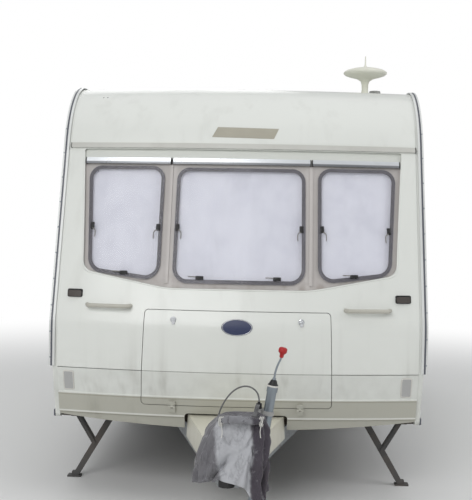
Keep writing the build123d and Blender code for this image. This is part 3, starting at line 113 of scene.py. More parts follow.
class Net:
    # A node tree, for a material, the sky or geometry
    def __init__(self, tree):
        self.tree = tree

    def node(self, kind, settings=None, values=None, outlet=0):
        made = self.tree.nodes.new(kind)
        for key, value in (settings or {}).items():
            setattr(made, key, value)
        for key, value in (values or {}).items():
            if isinstance(value, Wire):
                self.tree.links.new(value.socket, made.inputs[key])
            elif value is not None:
                made.inputs[key].default_value = value
        return Wire(self, made.outputs[outlet])

    def join(self, wire, name):
        self.tree.links.new(wire.socket, self.tree.nodes[name].inputs[0])

    def rays(self, first, *others):
        # One where the ray is of one of these kinds, else nought
        outlets = self.node("ShaderNodeLightPath").socket.node.outputs
        share = Wire(self, outlets[first])
        for other in others:
            share = share.most(Wire(self, outlets[other]))
        return share


class Finish(Net):
    def __init__(self, name, colour, rough=0.4, metal=0.0, coat=0.0, **fixed):
        self.material = bpy.data.materials.new(name)
        self.material.use_nodes = True
        super().__init__(self.material.node_tree)
        self.shader = self.tree.nodes["Principled BSDF"]
        self.place = None
        plain = {"Base Color": colour, "Roughness": rough, "Metallic": metal, "Coat Weight": coat}
        plain.update({key.replace("_", " "): value for key, value in fixed.items()})
        for key, value in plain.items():
            self.shader.inputs[key].default_value = value
        self.material.diffuse_color = colour

    def where(self):
        if self.place is None:
            self.place = self.node("ShaderNodeTexCoord", outlet=3)
        return self.place

    def axis(self, letter):
        return self.node("ShaderNodeSeparateXYZ", None, {0: self.where()}, outlet="XYZ".index(letter))

    def stretched(self, scale, turn=(0, 0, 0)):
        return self.node("ShaderNodeMapping", None, {
            "Vector": self.where(), "Scale": scale, "Rotation": turn})

    def noise(self, scale, detail=3.0, at=None):
        return self.node("ShaderNodeTexNoise", None, {
            "Vector": at or self.where(), "Scale": scale, "Detail": detail, "Roughness": 0.55})

    def ramp(self, value, low, high, top=1.0):
        return self.node("ShaderNodeMapRange", {"clamp": True, "interpolation_type": "SMOOTHSTEP"}, {
            0: value, 1: low, 2: high, 3: 0.0, 4: top})

    def patch(self, scale, detail, low, high, at=None):
        return self.ramp(self.noise(scale, detail, at), low, high)

    def band(self, value, middle, wide, narrow):
        return self.ramp((value - middle).size(), wide, narrow)

    def ribs(self, letter, pitch):
        return (self.axis(letter) * pitch).wave() * 0.5 + 0.5

    def blend(self, share, first, second):
        return self.node("ShaderNodeMix", {"data_type": "RGBA"}, {0: share, 6: first, 7: second}, outlet=2)

    def give(self, socket, wire):
        self.tree.links.new(wire.socket, self.shader.inputs[socket])

    def look(self, base, rough=None, relief=None, strength=0.1, distance=0.0004):
        self.give("Base Color", base)
        if rough:
            self.give("Roughness", rough)
        if relief:
            self.give("Normal", self.node("ShaderNodeBump", None, {
                "Height": relief, "Strength": strength, "Distance": distance}))
        return self.material


def paint(red, green, blue):
    # A colour as the eye reads it on a screen, 0 to 255, made linear
    return tuple(((v / 255 + 0.055) / 1.055) ** 2.4 if v > 10 else v / 255 / 12.92
                 for v in (red, green, blue)) + (1.0,)


def shade(colour, share):
    return tuple(c * share for c in colour[:3]) + (1,)


levels = {"seam": 0.765, "step": 0.613, "footEdge": 0.498}  # heights of the lines round the body's front
skirtWhite = paint(178, 177, 166)
white = paint(221, 223, 218)
grimeGrey = paint(120, 116, 102)


def gelcoat(name, colour, low, high, gloss=0.3, stain=0.75, seamAt=None, ledgeLightAt=(), foot=None):
    # Glossy moulded body: faint mottling, rain streaks, grime that gathers towards the ground; painted
    # highlight and painted shade at the ledges, and a dark line painted along the crease as shade
    f = Finish(name, colour, rough=gloss, coat=0.25, Coat_Roughness=0.12, IOR=1.48)
    base = f.blend(f.ramp(f.noise(1.3, 4), 0.3, 0.75, 0.1), colour, shade(colour, 0.86))
    height = f.axis("Z")
    lowDirt = f.ramp(height, high, low)
    dirt = f.patch(9.0, 3, 0.52, 0.78, f.stretched((1.0, 1.0, 0.07))) * (0.08 + lowDirt * 0.5)
    base = f.blend(dirt, base, grimeGrey)
    base = f.blend(lowDirt * f.patch(11.0, 4, 0.25, 0.8) * 0.22, base, grimeGrey)
    if stain:
        near = f.ramp(f.axis("X").size(), 0.75, 0.15)
        yellow = f.ramp(height, 0.66, 0.46) * near * f.patch(7.0, 4, 0.42, 0.66)
        base = f.blend(yellow * stain, base, paint(176, 150, 96))
    if foot:
        below = f.ramp(height, levels["step"], levels["step"] - 0.007)
        base = f.blend(below, base, f.blend(dirt * 0.6, foot, grimeGrey))
    # At each ledge: a pale band painted on the edge as highlight, a dark band just below it painted as shade
    for edge in ledgeLightAt:
        base = f.blend(f.band(height, edge, 0.007, 0.002) * 0.55, base, paint(244, 245, 241))
        base = f.blend(f.band(height, edge - 0.012, 0.005, 0.001) * 0.45, base, paint(132, 126, 110))
    # Dark line painted across the lid at the body's crease height, as painted shade of the crease
    if seamAt:
        base = f.blend(f.band(height, seamAt, 0.0022, 0.001) * 0.85, base, paint(78, 74, 66))
    return f.look(base, gloss + f.patch(4.0, 3, 0.3, 0.8) * 0.14 + dirt * 0.3,
                  f.noise(2.2, 2) + f.noise(240.0, 1) * 0.02, 0.25, 0.004)


def metal(name, colour, rough=0.35, wornShare=0.3):
    f = Finish(name, colour, rough=rough, metal=0.85)
    drawn = f.noise(30.0, 3, at=f.stretched((1, 1, 40)))
    worn = f.patch(9.0, 4, 0.5, 0.75)
    f.give("Metallic", 0.9 - worn * 0.5)
    return f.look(f.blend(worn * wornShare, colour, paint(70, 66, 60)), rough + drawn * 0.12 + worn * 0.25,
                  drawn, 0.06, 0.0006)


def galvanised(name):
    f = Finish(name, paint(150, 154, 156), rough=0.5, metal=0.6)
    spangle = f.node("ShaderNodeTexVoronoi", {"feature": "F1"}, {
        "Vector": f.where(), "Scale": 90.0}, outlet=1)
    tone = f.node("ShaderNodeRGBToBW", None, {0: spangle})
    rust = f.patch(14.0, 5, 0.62, 0.72)
    base = f.blend(tone * 0.35, paint(158, 162, 164), paint(116, 120, 123))
    f.give("Metallic", 0.65 - rust * 0.6)
    return f.look(f.blend(rust * 0.7, base, paint(112, 74, 48)), 0.42 + tone * 0.16 + rust * 0.3,
                  f.noise(70.0, 3), 0.12, 0.0008)


def plastic(name, colour, rough=0.45, grain=260.0, fade=0.18, faded=None):
    # Moulded plastic with a fine grain, faded where the sun reaches
    f = Finish(name, colour, rough=rough)
    faded = faded or tuple(min(1, c * 1.25 + 0.02) for c in colour[:3]) + (1,)
    return f.look(f.blend(f.patch(6.0, 4, 0.35, 0.8) * fade, colour, faded), rough + f.noise(11.0, 3) * 0.14,
                  f.noise(grain, 2))


def dusty(name, colour, dust, share, spots, rough, gain, grain, strength, distance=0.0005):
    # Matt material under patches of dust or mud; spots is the patches' noise and its ramp
    f = Finish(name, colour, rough=rough)
    dirt = f.patch(*spots)
    return f.look(f.blend(dirt * share, colour, dust), rough + dirt * gain,
                  f.noise(*grain), strength, distance)


def acrylic(name, colour, clear):
    f = Finish(name, colour, rough=0.08, IOR=1.49, Alpha=clear)
    smear = f.patch(5.0, 4, 0.45, 0.8, f.stretched((1, 1, 0.35)))
    f.give("Roughness", 0.06 + smear * 0.12)
    f.give("Alpha", clear + smear * 0.05)
    return f.material


def cloth(name, colour, dark, weave, soil=0.3):
    f = Finish(name, colour, rough=0.9, Sheen_Weight=0.25, Sheen_Roughness=0.5)
    thread = f.ribs("X", weave) * f.ribs("Z", weave)
    base = f.blend(f.patch(9.0, 5, 0.38, 0.75) * soil, colour, dark)
    return f.look(f.blend(thread * 0.1, base, dark), 0.82 + thread * 0.1,
                  thread + f.noise(60.0, 3) * 0.4, 0.3)


def lens(name, colour):
    f = Finish(name, colour, rough=0.16, coat=0.6, Coat_Roughness=0.05)
    rib = f.ribs("X", 520.0)
    return f.look(f.blend(rib * 0.25, colour, shade(colour, 0.7)), None, rib, 0.35, 0.0008)


def markerLens(name):
    # Smoky marker lamps above, clear ribbed position lamps below
    f = Finish(name, paint(205, 204, 200), rough=0.16, coat=0.6, Coat_Roughness=0.05)
    rib = f.ribs("Z", 900.0)
    clear = f.blend(rib * 0.3, paint(176, 176, 175), paint(132, 132, 132))
    smoky = f.blend(rib * 0.4, paint(76, 70, 66), paint(48, 42, 40))
    return f.look(f.blend(f.axis("Z").above(0.9), clear, smoky), None, rib, 0.3, 0.0008)


def rearLens(name):
    # Red, amber and clear fields side by side, each with its own fluting
    f = Finish(name, paint(150, 22, 20), rough=0.14, coat=0.7, Coat_Roughness=0.05)
    out = f.axis("X").size()
    rib = (out * 1100.0).wave() * 0.5 + 0.5
    colour = f.blend(out.above(0.925), paint(158, 24, 20), paint(206, 112, 26))
    colour = f.blend(out.below(0.775), colour, paint(206, 205, 202))
    return f.look(f.blend(rib * 0.25, colour, paint(70, 14, 12)), None, rib, 0.3, 0.0008)


def surroundFinish(name):
    # Pinkish grey moulding, body white above the hinge rails, dirt along the lower edge, the ribs painted
    # lighter as highlight
    f = Finish(name, paint(178, 173, 170), rough=0.5)
    height, out = f.axis("Z"), f.axis("X").size()
    base = f.blend(f.patch(5.0, 4, 0.35, 0.8) * 0.4, paint(176, 171, 168), paint(198, 193, 190))
    # Lighter bands at the ribs, |x| near 0.4: painted highlight
    base = f.blend(f.band(out, 0.4, 0.03, 0.008) * 0.35, base, paint(206, 202, 199))
    low = f.ramp(height, 1.34, 1.24) * f.patch(16.0, 4, 0.4, 0.75)
    base = f.blend(low * 0.5, base, paint(134, 122, 112))
    return f.look(f.blend(f.ramp(height, 1.978, 1.984), base, paint(212, 214, 208)),
                  0.46 + f.noise(11.0, 3) * 0.14, f.noise(300.0, 2), 0.08)


def railShine(name):
    # Bright rolled rail: white flank above, the lower lip painted dark grey as shade
    f = Finish(name, paint(222, 225, 228), rough=0.22, metal=0.55)
    base = f.blend(f.ramp(f.axis("Z"), 1.974, 1.968), paint(226, 229, 232), paint(128, 130, 134))
    return f.look(f.blend(f.patch(4.0, 3, 0.5, 0.8) * 0.2, base, paint(170, 170, 170)),
                  0.24 + f.noise(3.0, 2) * 0.08)


def railPaint(name):
    # White enamelled rail with the dark filler strip that runs along its inner edge
    f = Finish(name, paint(214, 216, 214), rough=0.34, coat=0.2)
    out = f.axis("X").size()
    strip = out.above(1.0695) * out.below(1.0805)
    worn = f.patch(7.0, 4, 0.48, 0.8, f.stretched((1, 0.25, 0.25)))
    enamel = f.blend(worn * 0.35, paint(214, 216, 214), paint(150, 150, 146))
    return f.look(f.blend(strip, enamel, paint(84, 86, 94)), 0.32 + worn * 0.2 + strip * 0.3)


finishes = {
    "cream_body": gelcoat("bodyGelcoat", white, 0.4, 1.00),
    "side_panel": gelcoat("sidePanelPaint", white, 0.4, 1.1, gloss=0.36, stain=0.0),
    "rail_alloy": metal("railAlloy", paint(196, 199, 203), 0.3),
    "surround_plastic": plastic("surroundPlastic", paint(168, 163, 160), 0.5, 300, 0.35,
                                paint(192, 188, 185)),
    "acrylic_pane": acrylic("acrylicPane", paint(196, 196, 208), 0.1),
    "seal_rubber": dusty("sealRubber", paint(44, 38, 37), paint(92, 86, 78), 0.35, (12.0, 4, 0.45, 0.8),
                         0.62, 0.25, (140.0, 3), 0.18),
    "blind_fabric": cloth("blindFabric", paint(232, 233, 241), paint(200, 201, 214), 700),
    "tyre_rubber": dusty("tyreRubber", paint(33, 33, 34), paint(88, 80, 68), 0.5, (18.0, 5, 0.42, 0.75),
                         0.7, 0.2, (120.0, 3), 0.25, 0.0008),
    "rim_steel": metal("rimPaint", paint(176, 178, 180), 0.42, 0.4),
    "galvanised_steel": galvanised("galvanisedSteel"),
    "black_steel": plastic("blackPaint", paint(30, 30, 31), 0.5, 120, 0.3),
    "zinc_steel": metal("zincSteel", paint(142, 150, 156), 0.35, 0.4),
    "cast_iron": plastic("castPaint", paint(34, 33, 34), 0.6, 70, 0.3),
    "black_plastic": plastic("blackPlastic", paint(26, 26, 28)),
    "grey_plastic": plastic("greyPlastic", paint(160, 160, 158), 0.5),
    "white_plastic": plastic("whitePlastic", paint(214, 213, 204), 0.42, 260, 0.25, paint(196, 190, 170)),
    "red_lens": lens("redLens", paint(150, 22, 20)),
    "floor_board": plastic("floorBoard", paint(66, 58, 50), 0.8, 60, 0.4),
    "cover_fabric": cloth("coverFabric", paint(132, 132, 137), paint(84, 82, 88), 800, 0.5),
    "navy_badge": plastic("navyBadge", paint(38, 48, 82), 0.25, 400, 0.2),
}
# Corner steadies: dark grey as painted shade under the body, in place of galvanised steel
steadyShadeGrey = plastic("steadyShadeGrey", paint(74, 74, 74), 0.55, 90, 0.5, paint(112, 96, 82))
knobRed = dusty("knobRed", paint(168, 22, 24), paint(120, 24, 24), 0.35, (30.0, 4, 0.45, 0.8),
                0.38, 0.0, (160.0, 2), 0.1)
cableGrey = dusty("cableGrey", paint(112, 113, 114), paint(64, 62, 60), 0.5, (26.0, 4, 0.4, 0.75),
                  0.55, 0.0, (220.0, 2), 0.12, 0.0004)
chrome = metal("latchChrome", paint(205, 207, 210), 0.18, 0.15)
pale = plastic("fittingPale", paint(206, 204, 198), 0.4)
armGrey = plastic("armGrey", paint(128, 126, 122), 0.5)
beige = plastic("stripBeige", paint(164, 160, 146), 0.5, 200, 0.3, paint(184, 180, 166))
darkPlastic = plastic("catchBlack", paint(24, 24, 25), 0.42)
aerialCream = plastic("aerialCream", paint(224, 224, 212), 0.4, 200, 0.35, paint(196, 196, 176))
cordWhite = cloth("tieCord", paint(206, 205, 200), paint(150, 148, 142), 2600)
strapBlack = cloth("strapWeb", paint(44, 43, 46), paint(26, 26, 28), 2600)
plateYellow = plastic("plateYellow", paint(212, 186, 74), 0.35, 300, 0.2, paint(222, 206, 130))
amberLens = lens("amberLens", paint(206, 112, 26))
print("caravan: finishes made,", len(finishes))

slotOf = {row["node"]: row["material_slot"] for row in frame["record"]["subparts"]}
ownFinish = {
    "awning_rails": railPaint("awningRailPaint"),
    "locker_lid": gelcoat("lidGelcoat", white, 0.4, 1.00, seamAt=levels["seam"], ledgeLightAt=(levels["step"],),
                          foot=skirtWhite),
    "front_skirt": gelcoat("skirtGelcoat", white, 0.4, 1.00, ledgeLightAt=(levels["step"], levels["footEdge"]),
                           foot=skirtWhite),
    "window_surround": surroundFinish("surroundTwoTone"),
    "hinge_rails": railShine("hingeRailShine"),
    "join_strip": plastic("joinStripGrey", paint(194, 194, 188), 0.34, 200, 0.3, paint(160, 158, 150)),
    "grab_handles": plastic("handleGrey", paint(184, 182, 172), 0.36, 200, 0.3, paint(150, 146, 136)),
    "drawbar_fairing": gelcoat("fairingGelcoat", paint(216, 213, 198), 0.2, 0.6, stain=0.0),
    "front_lamps": markerLens("frontLampLens"),
    "rear_lamps": rearLens("rearLampLens"),
}


def materialOf(finish):
    return finishes[finish] if isinstance(finish, str) else finish


def wear(piece, finish):
    if not piece.data.materials:
        piece.data.materials.append(materialOf(finish))
    for slot in piece.material_slots:
        slot.link = "DATA"
        slot.material = materialOf(finish)


for name, node in nodes.items():
    wear(node, steadyShadeGrey if name.startswith("steady_") else ownFinish.get(name, slotOf[name]))


def makeStudio():
    half = studio["floorSize"] / 2
    mesh = bpy.data.meshes.new("floorPlane")
    square = [(-half, -half, 0), (half, -half, 0), (half, half, 0), (-half, half, 0)]
    mesh.from_pydata(square, [], [(0, 1, 2, 3)])
    ground = newObject("studioFloor", mesh)
    f = Finish("floorPaint", (0.82, 0.82, 0.81, 1), rough=0.9)
    far = f.node("ShaderNodeVectorMath", {"operation": "LENGTH"}, {0: f.where()}, outlet=1)
    share = f.ramp(far, studio["fadeFrom"], studio["fadeTo"]) \
        * f.rays("Is Camera Ray", "Is Glossy Ray", "Is Transmission Ray")
    plainWhite = f.node("ShaderNodeEmission", None, {"Color": (1, 1, 1, 1), "Strength": 1.0})
    f.join(f.node("ShaderNodeMixShader", None, {0: share, 1: Wire(f, f.shader.outputs[0]), 2: plainWhite}),
           "Material Output")
    wear(ground, f.material)
    scene.world = bpy.data.worlds.new("studioSky")
    scene.world.use_nodes = True
    sky = Net(scene.world.node_tree)
    dome = sky.node("ShaderNodeBackground", None, {
        "Color": studio["skyColour"], "Strength": studio["skyStrength"]})
    plain = sky.node("ShaderNodeBackground", None, {"Color": (1, 1, 1, 1)})
    seen = sky.rays("Is Camera Ray", "Is Transmission Ray")
    sky.join(sky.node("ShaderNodeMixShader", None, {0: seen, 1: dome, 2: plain}), "World Output")
    for name, place, aim, power, width in studio["lamps"]:
        lamp = bpy.data.lights.new(name, "AREA")
        lamp.energy, lamp.size = power, width
        holder = newObject(name, lamp)
        holder.location = place
        holder.rotation_euler = (Vector(aim) - Vector(place)).to_track_quat("-Z", "Y").to_euler()


makeStudio()
print("caravan: studio ready")


def makePiece(name, mesh, finish, body="caravan"):
    piece = newObject(name, mesh)
    wear(piece, finish)
    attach(piece, body)
    return piece


def plainMesh(name, bm):
    mesh = bpy.data.meshes.new(name)
    bm.to_mesh(mesh)
    bm.free()
    mesh.shade_smooth()
    return mesh


def solidMesh(name, bm, smooth=35):
    bmesh.ops.remove_doubles(bm, verts=bm.verts, dist=0.00002)
    bmesh.ops.recalc_face_normals(bm, faces=bm.faces)
    mesh = plainMesh(name, bm)
    mesh.set_sharp_from_angle(angle=math.radians(smooth))
    return mesh


def shape(name, bm, finish, body="caravan", smooth=35):
    return makePiece(name, solidMesh(name, bm, smooth), finish, body)


def applied(piece):
    # The mesh as its modifiers leave it, which are then removed
    mesh = bpy.data.meshes.new_from_object(piece.evaluated_get(bpy.context.evaluated_depsgraph_get()))
    piece.modifiers.clear()
    return mesh


def turns(count):
    return [2 * math.pi * i / count for i in range(count)]


def standing(place, out, up=(0, 0, 1)):
    # A frame whose Z looks out of a surface and whose Y is as near up as it can be
    z = Vector(out).normalized()
    x = Vector(up).cross(z).normalized()
    return Matrix.Translation(place) @ Matrix((x, z.cross(x), z)).transposed().to_4x4()


def moved(place, shift):
    return place @ Matrix.Translation(shift)


def addBlock(bm, place, size, bevel=0.001, segments=2):
    made = bmesh.ops.create_cube(bm, size=1.0, matrix=place @ Matrix.Diagonal((*size, 1)))
    edges = list({edge for vert in made["verts"] for edge in vert.link_edges})
    bmesh.ops.bevel(bm, geom=edges, offset=bevel, segments=segments, affect="EDGES", profile=0.5)


def bridge(bm, rings, closed=False, capped=True):
    # Faces between one ring of corners and the next; closed joins the last ring to the first
    count = len(rings[0])
    for low, high in list(zip(rings, rings[1:])) + ([(rings[-1], rings[0])] if closed else []):
        for k in range(count):
            bm.faces.new((low[k], low[(k + 1) % count], high[(k + 1) % count], high[k]))
    if capped and not closed:
        bm.faces.new(list(reversed(rings[0])))
        bm.faces.new(rings[-1])


def addGrid(bm, columns, rows, placeAt):
    # A sheet of faces; placeAt gives the point for a share across and a share up
    grid = [[bm.verts.new(placeAt(c / columns, r / rows)) for c in range(columns + 1)]
            for r in range(rows + 1)]
    for low, high in zip(grid, grid[1:]):
        for c in range(columns):
            bm.faces.new((low[c], low[c + 1], high[c + 1], high[c]))
    return grid


def addTurned(bm, place, rows, steps=28):
    # Rows are radius and height up the frame's Z, closed at both ends
    bridge(bm, [[bm.verts.new(place @ Vector((radius * math.cos(a), radius * math.sin(a), height)))
                 for a in turns(steps)] for radius, height in rows])


def turnedPiece(name, seats, rows, steps, finish, body="caravan", smooth=35):
    bm = bmesh.new()
    for seat in seats:
        addTurned(bm, seat, rows, steps)
    return shape(name, bm, finish, body, smooth)


def blockPiece(name, rows, bevel, segments, finish, body="caravan"):
    # Rows are a frame and a size
    bm = bmesh.new()
    for seat, size in rows:
        addBlock(bm, seat, size, bevel, segments)
    return shape(name, bm, finish, body)


def addTube(bm, points, radius, steps=8, closed=False):
    points = [Vector(p) for p in points]
    count = len(points)
    rings, side = [], None
    for i, point in enumerate(points):
        after = points[(i + 1) % count] if closed or i < count - 1 else point
        before = points[i - 1] if closed or i > 0 else point
        along = (after - before).normalized()
        side = along.orthogonal().normalized() if side is None else side
        side = (side - along * side.dot(along)).normalized()
        other = along.cross(side)
        rings.append([bm.verts.new(point + (side * math.cos(a) + other * math.sin(a)) * radius)
                      for a in turns(steps)])
    bridge(bm, rings, closed)


def tubePiece(name, points, radius, steps, finish, body="caravan", smooth=35, closed=False):
    bm = bmesh.new()
    addTube(bm, points, radius, steps, closed)
    return shape(name, bm, finish, body, smooth)


def curveThrough(name, points, steps):
    line = bpy.data.curves.new(name, "CURVE")
    line.dimensions = "3D"
    run = line.splines.new("NURBS")
    run.points.add(len(points) - 1)
    for point, at in zip(run.points, points):
        point.co = (*at, 1)
    run.order_u, run.use_endpoint_u, run.resolution_u = 3, True, steps
    return line


def bent(points, steps=10):
    # A smooth line near a few points, for arms, straps and trims
    holder = bpy.data.objects.new("bentLine", curveThrough("bentLine", points, steps))
    result = [v.co.copy() for v in bpy.data.meshes.new_from_object(holder).vertices]
    bpy.data.objects.remove(holder)
    return result


skins = {}


def skin(node):
    if node not in skins:
        mesh = nodes[node].data
        skins[node] = BVHTree.FromPolygons([v.co for v in mesh.vertices], [p.vertices for p in mesh.polygons])
    return skins[node]


def hit(node, start, aim):
    # Where a straight line from a point first meets a CAD node, and which way the surface looks
    place, out = skin(node).ray_cast(Vector(start), Vector(aim).normalized())[:2]
    return (place, out) if place else skin(node).find_nearest(Vector(start))[:2]


def front(node, x, z):
    return hit(node, (x, -4, z), (0, 1, 0))


def back(node, x, z):
    return hit(node, (x, 5, z), (0, -1, 0))


def seatOn(node, x, z, lift=0.0):
    # A frame on the surface seen from the front at x and z
    place, out = front(node, x, z)
    return standing(place + out * lift, out)


def lineOn(node, points, lift):
    found = [front(node, x, z) for x, z in points]
    return [place + out * lift for place, out in found]


def corners(node):
    return map(Vector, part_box(node))


def islands(node):
    # The boxes of a node's separate solids
    bm = bmesh.new()
    bm.from_mesh(nodes[node].data)
    bmesh.ops.remove_doubles(bm, verts=bm.verts, dist=0.00005)
    seen, boxes = set(), []
    for vert in bm.verts:
        if vert in seen:
            continue
        group, wait = [], [vert]
        seen.add(vert)
        while wait:
            one = wait.pop()
            group.append(one.co.copy())
            for edge in one.link_edges:
                other = edge.other_vert(one)
                if other not in seen:
                    seen.add(other)
                    wait.append(other)
        boxes.append((Vector(map(min, zip(*group))), Vector(map(max, zip(*group)))))
    bm.free()
    return sorted(boxes, key=lambda box: tuple(round(v, 3) for v in (box[0] + box[1]) / 2))


# The cable: a free cord from the drawbar fairing to its parked plug
cable = {
    "route": [(0.139, -2.525, 0.75), (0.139, -2.525, 0.785), (0.104, -2.527, 0.822), (0.056, -2.522, 0.826),
              (0.006, -2.505, 0.795), (-0.034, -2.475, 0.738), (-0.06, -2.43, 0.676),
              (-0.07, -2.38, 0.616), (-0.07, -2.344, 0.566), (-0.07, -2.344, 0.517)],
    "thick": 0.008, "long": 0.534,
}


def makeCable():
    line = curveThrough("towingCable", cable["route"], 12)
    line.bevel_depth, line.bevel_resolution, line.use_fill_caps = cable["thick"] / 2, 4, True
    piece = makePiece("towing_cable", line, cableGrey)
    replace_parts(piece, "cable")


makeCable()
print("caravan: cable laid")

# Blinds: soft sheets behind the panes
blind = {"cell": 0.012, "wave": 0.0022, "fold": 0.15, "thick": 0.0012, "inset": 0.0035, "reach": 1.3,
         "doorGap": 0.03, "doorLap": 0.006, "doorSeed": 20}


def makeBlind(name, low, high, facing, seed, node=None, body="caravan"):
    # A drawn cloth: shallow upright waves, slacker at its foot; facing is the way it looks out
    pick = random.Random(seed)
    facing = Vector(facing)
    across = Vector((0, 0, 1)).cross(facing).normalized()
    wide = abs((high - low).dot(across))
    tall = high.z - low.z
    columns, rows = max(8, int(wide / blind["cell"])), max(8, int(tall / blind["cell"]))
    phase = [pick.uniform(0, 6.28) for _ in range(4)]

    def placeAt(u, v):
        place = (low + high) / 2 + across * (u - 0.5) * wide
        place.z = low.z + tall * v
        if node:
            found = skin(node).ray_cast(place + facing, -facing, blind["reach"])[0]
            if found is None:
                place = skin(node).find_nearest(place)[0] - facing * blind["inset"]
            else:
                place += facing * ((found - place).dot(facing) - blind["inset"])
        turn = u * wide / blind["fold"] * 2 * math.pi
        sway = math.sin(turn + phase[0]) + 0.5 * math.sin(1.7 * turn + phase[1] + 0.8 * v)
        sag = 0.6 * math.sin(5 * v + phase[2]) * math.sin(2.1 * u * math.pi + phase[3])
        return place + facing * blind["wave"] * (sway * (1.0 - 0.55 * v) + sag)

    bm = bmesh.new()
    grid = addGrid(bm, columns, rows, placeAt)
    piece = makePiece(name, plainMesh(name, bm), "blind_fabric", body)
    thick = piece.modifiers.new("clothThickness", "SOLIDIFY")
    thick.thickness, thick.offset = blind["thick"], 0
    piece.data = applied(piece)
    return piece


def makeBlinds():
    made = []
    for number, (low, high) in enumerate(islands("blinds")):
        middle = (low + high) / 2
        if high.x - low.x > 0.2:
            facing = (0, -1, 0) if middle.y < 0 else (0, 1, 0)
        else:
            facing = (-1, 0, 0) if middle.x < 0 else (1, 0, 0)
        made.append(makeBlind(f"blind_cloth_{number}", low, high, facing, number, "blinds"))
    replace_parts(made[0], "blinds")
    low, high = corners("door_pane")
    lap = Vector((0, blind["doorLap"], blind["doorLap"]))
    low, high = low - lap, high + lap
    low.x = high.x = low.x - blind["doorGap"]
    makeBlind("blind_cloth_door", low, high, (1, 0, 0), blind["doorSeed"], body="entrance_door_body")


makeBlinds()
print("caravan: blinds hung")

# Window catches and stay arms; places are X and Z on the front panes
catches = {
    "side": {"places": [(-0.872, 1.583), (-0.478, 1.579), (-0.362, 1.581), (0.358, 1.581), (0.478, 1.583),
                        (0.869, 1.578)],
             "size": (0.022, 0.04, 0.012), "latch": ((0, -0.004, 0.006), (0.012, 0.02, 0.008)), "steps": 6,
             "arm": [(0.004, -0.016, 0.004), (0.02, -0.024, 0.006), (0.024, -0.044, 0.005),
                     (0.022, -0.07, 0.003)]},
    "foot": {"places": [(-0.667, 1.316), (-0.223, 1.296), (0.221, 1.297), (0.663, 1.317)],
             "size": (0.046, 0.02, 0.012), "latch": ((0.002, 0.003, 0.006), (0.024, 0.012, 0.008)),
             "steps": 4, "arm": [(-0.02, 0.004, 0.003), (-0.04, 0.006, 0.003), (-0.066, 0.006, 0.002)]},
    "leftward": (-0.478, 0.358, 0.869), "armWide": 0.0032, "stand": 0.0045,
    "sideStand": 0.0035, "sideLatch": ((0, -0.003, 0.006), (0.014, 0.014, 0.008)), "thin": 0.15,
    "bevel": 0.003, "latchBevel": 0.002, "sillUp": 0.045, "sillSpread": 0.45, "edgeIn": 0.04,
    "edgeDown": 0.02,
}


def addCatch(bm, place, size, latch):
    addBlock(bm, place, size, catches["bevel"])
    addBlock(bm, moved(place, latch[0]), latch[1], catches["latchBevel"])


def makeCatches():
    black, arms = bmesh.new(), bmesh.new()
    for kind in (catches["side"], catches["foot"]):
        for x, z in kind["places"]:
            seat = seatOn("window_panes", x, z, catches["stand"])
            addCatch(black, seat, kind["size"], kind["latch"])
            inward = -1 if x in catches["leftward"] else 1
            arm = [seat @ Vector((inward * px, py, pz)) for px, py, pz in kind["arm"]]
            addTube(arms, bent(arm, kind["steps"]), catches["armWide"], 6)
    shape("window_catches", black, darkPlastic)
    shape("window_stays", arms, armGrey, smooth=60)


def makeSideCatches():
    # Two catches at the foot of every side, rear and door pane, and one at each upright edge
    sets = {"caravan": bmesh.new(), "entrance_door_body": bmesh.new()}
    rows = [("caravan", "window_panes", low, high) for low, high in islands("window_panes")
            if high.x - low.x < catches["thin"] or low.y > 1]
    rows.append(("entrance_door_body", "door_pane", *corners("door_pane")))
    for body, node, low, high in rows:
        middle = (low + high) / 2
        onSide = high.x - low.x < catches["thin"]
        along = Vector((0, 1, 0)) if onSide else Vector((1, 0, 0))
        facing = Vector((math.copysign(1, middle.x), 0, 0)) if onSide else Vector((0, 1, 0))
        half = abs((high - low).dot(along)) / 2
        for kind, shift, level in (("foot", catches["sillSpread"] * half, low.z + catches["sillUp"]),
                                   ("side", half - catches["edgeIn"], middle.z - catches["edgeDown"])):
            for way in (-1, 1):
                start = middle + along * shift * way + facing
                start.z = level
                place = hit(node, start, -facing)[0]
                addCatch(sets[body], standing(place + facing * catches["sideStand"], facing),
                         catches[kind]["size"], catches["sideLatch"])
    for body, bm in sets.items():
        shape("side_catches_" + body, bm, darkPlastic, body)


makeCatches()
makeSideCatches()

# Locks, badge ring, bare strip and small front trim
trim = {
    "lock": [(0.0005, 0), (0.0165, 0), (0.0175, 0.002), (0.0165, 0.0045), (0.0125, 0.0055), (0.0115, 0.009),
             (0.01, 0.0105), (0.0005, 0.0105)],
    "lockPlaces": [(-0.363, 1.062), (0.363, 1.062)], "lockSunk": 0.004,
    "lockCover": ((0.002, -0.012, 0.01), (0.017, 0.028, 0.004)), "coverBevel": 0.0018,
    "lockPin": [(0.002, 0.004, 0.013), (0.002, -0.004, 0.013)], "pinThick": 0.0022,
    "ringShare": 0.94, "ringLift": 0.0006, "ringThick": 0.0018,
    "strip": [(-0.148, 2.185), (-0.181, 2.123), (0.189, 2.117), (0.218, 2.179)], "stripThick": 0.004,
    "stripSunk": 0.002, "stripBevel": 0.0025, "stripCells": (36, 8),
    "chips": [(-0.887, 2.383), (-0.861, 2.383)], "chip": [(0.0045, 0), (0.0045, 0.0014), (0.002, 0.0018)],
    "chipSunk": 0.001, "lipSunk": 0.0012, "lipThick": 0.0048,
    "railEnd": (0.005, 0.016, 0.006, 0.002),  # width, depth, how far sunk, how far in from the end
    "railEndGrow": (("hinge_rails", 0.0025), ("join_strip", 0.002)),
    "lampSplit": 0.9,  # position lamps sit below this height and marker lamps above it
    "frameLift": 0.001, "frameThick": 0.0045, "frameSquare": 1.35, "frameGrow": 0.0018, "baseGrow": 0.0015,
    "lip": [(0.955, 2.000), (0.945, 1.86), (0.932, 1.64), (0.921, 1.46), (0.917, 1.35), (0.89, 1.316),
            (0.8, 1.303), (0.64, 1.273), (0.5, 1.247), (0.4, 1.231), (0.25, 1.231), (0.1, 1.231)],
}


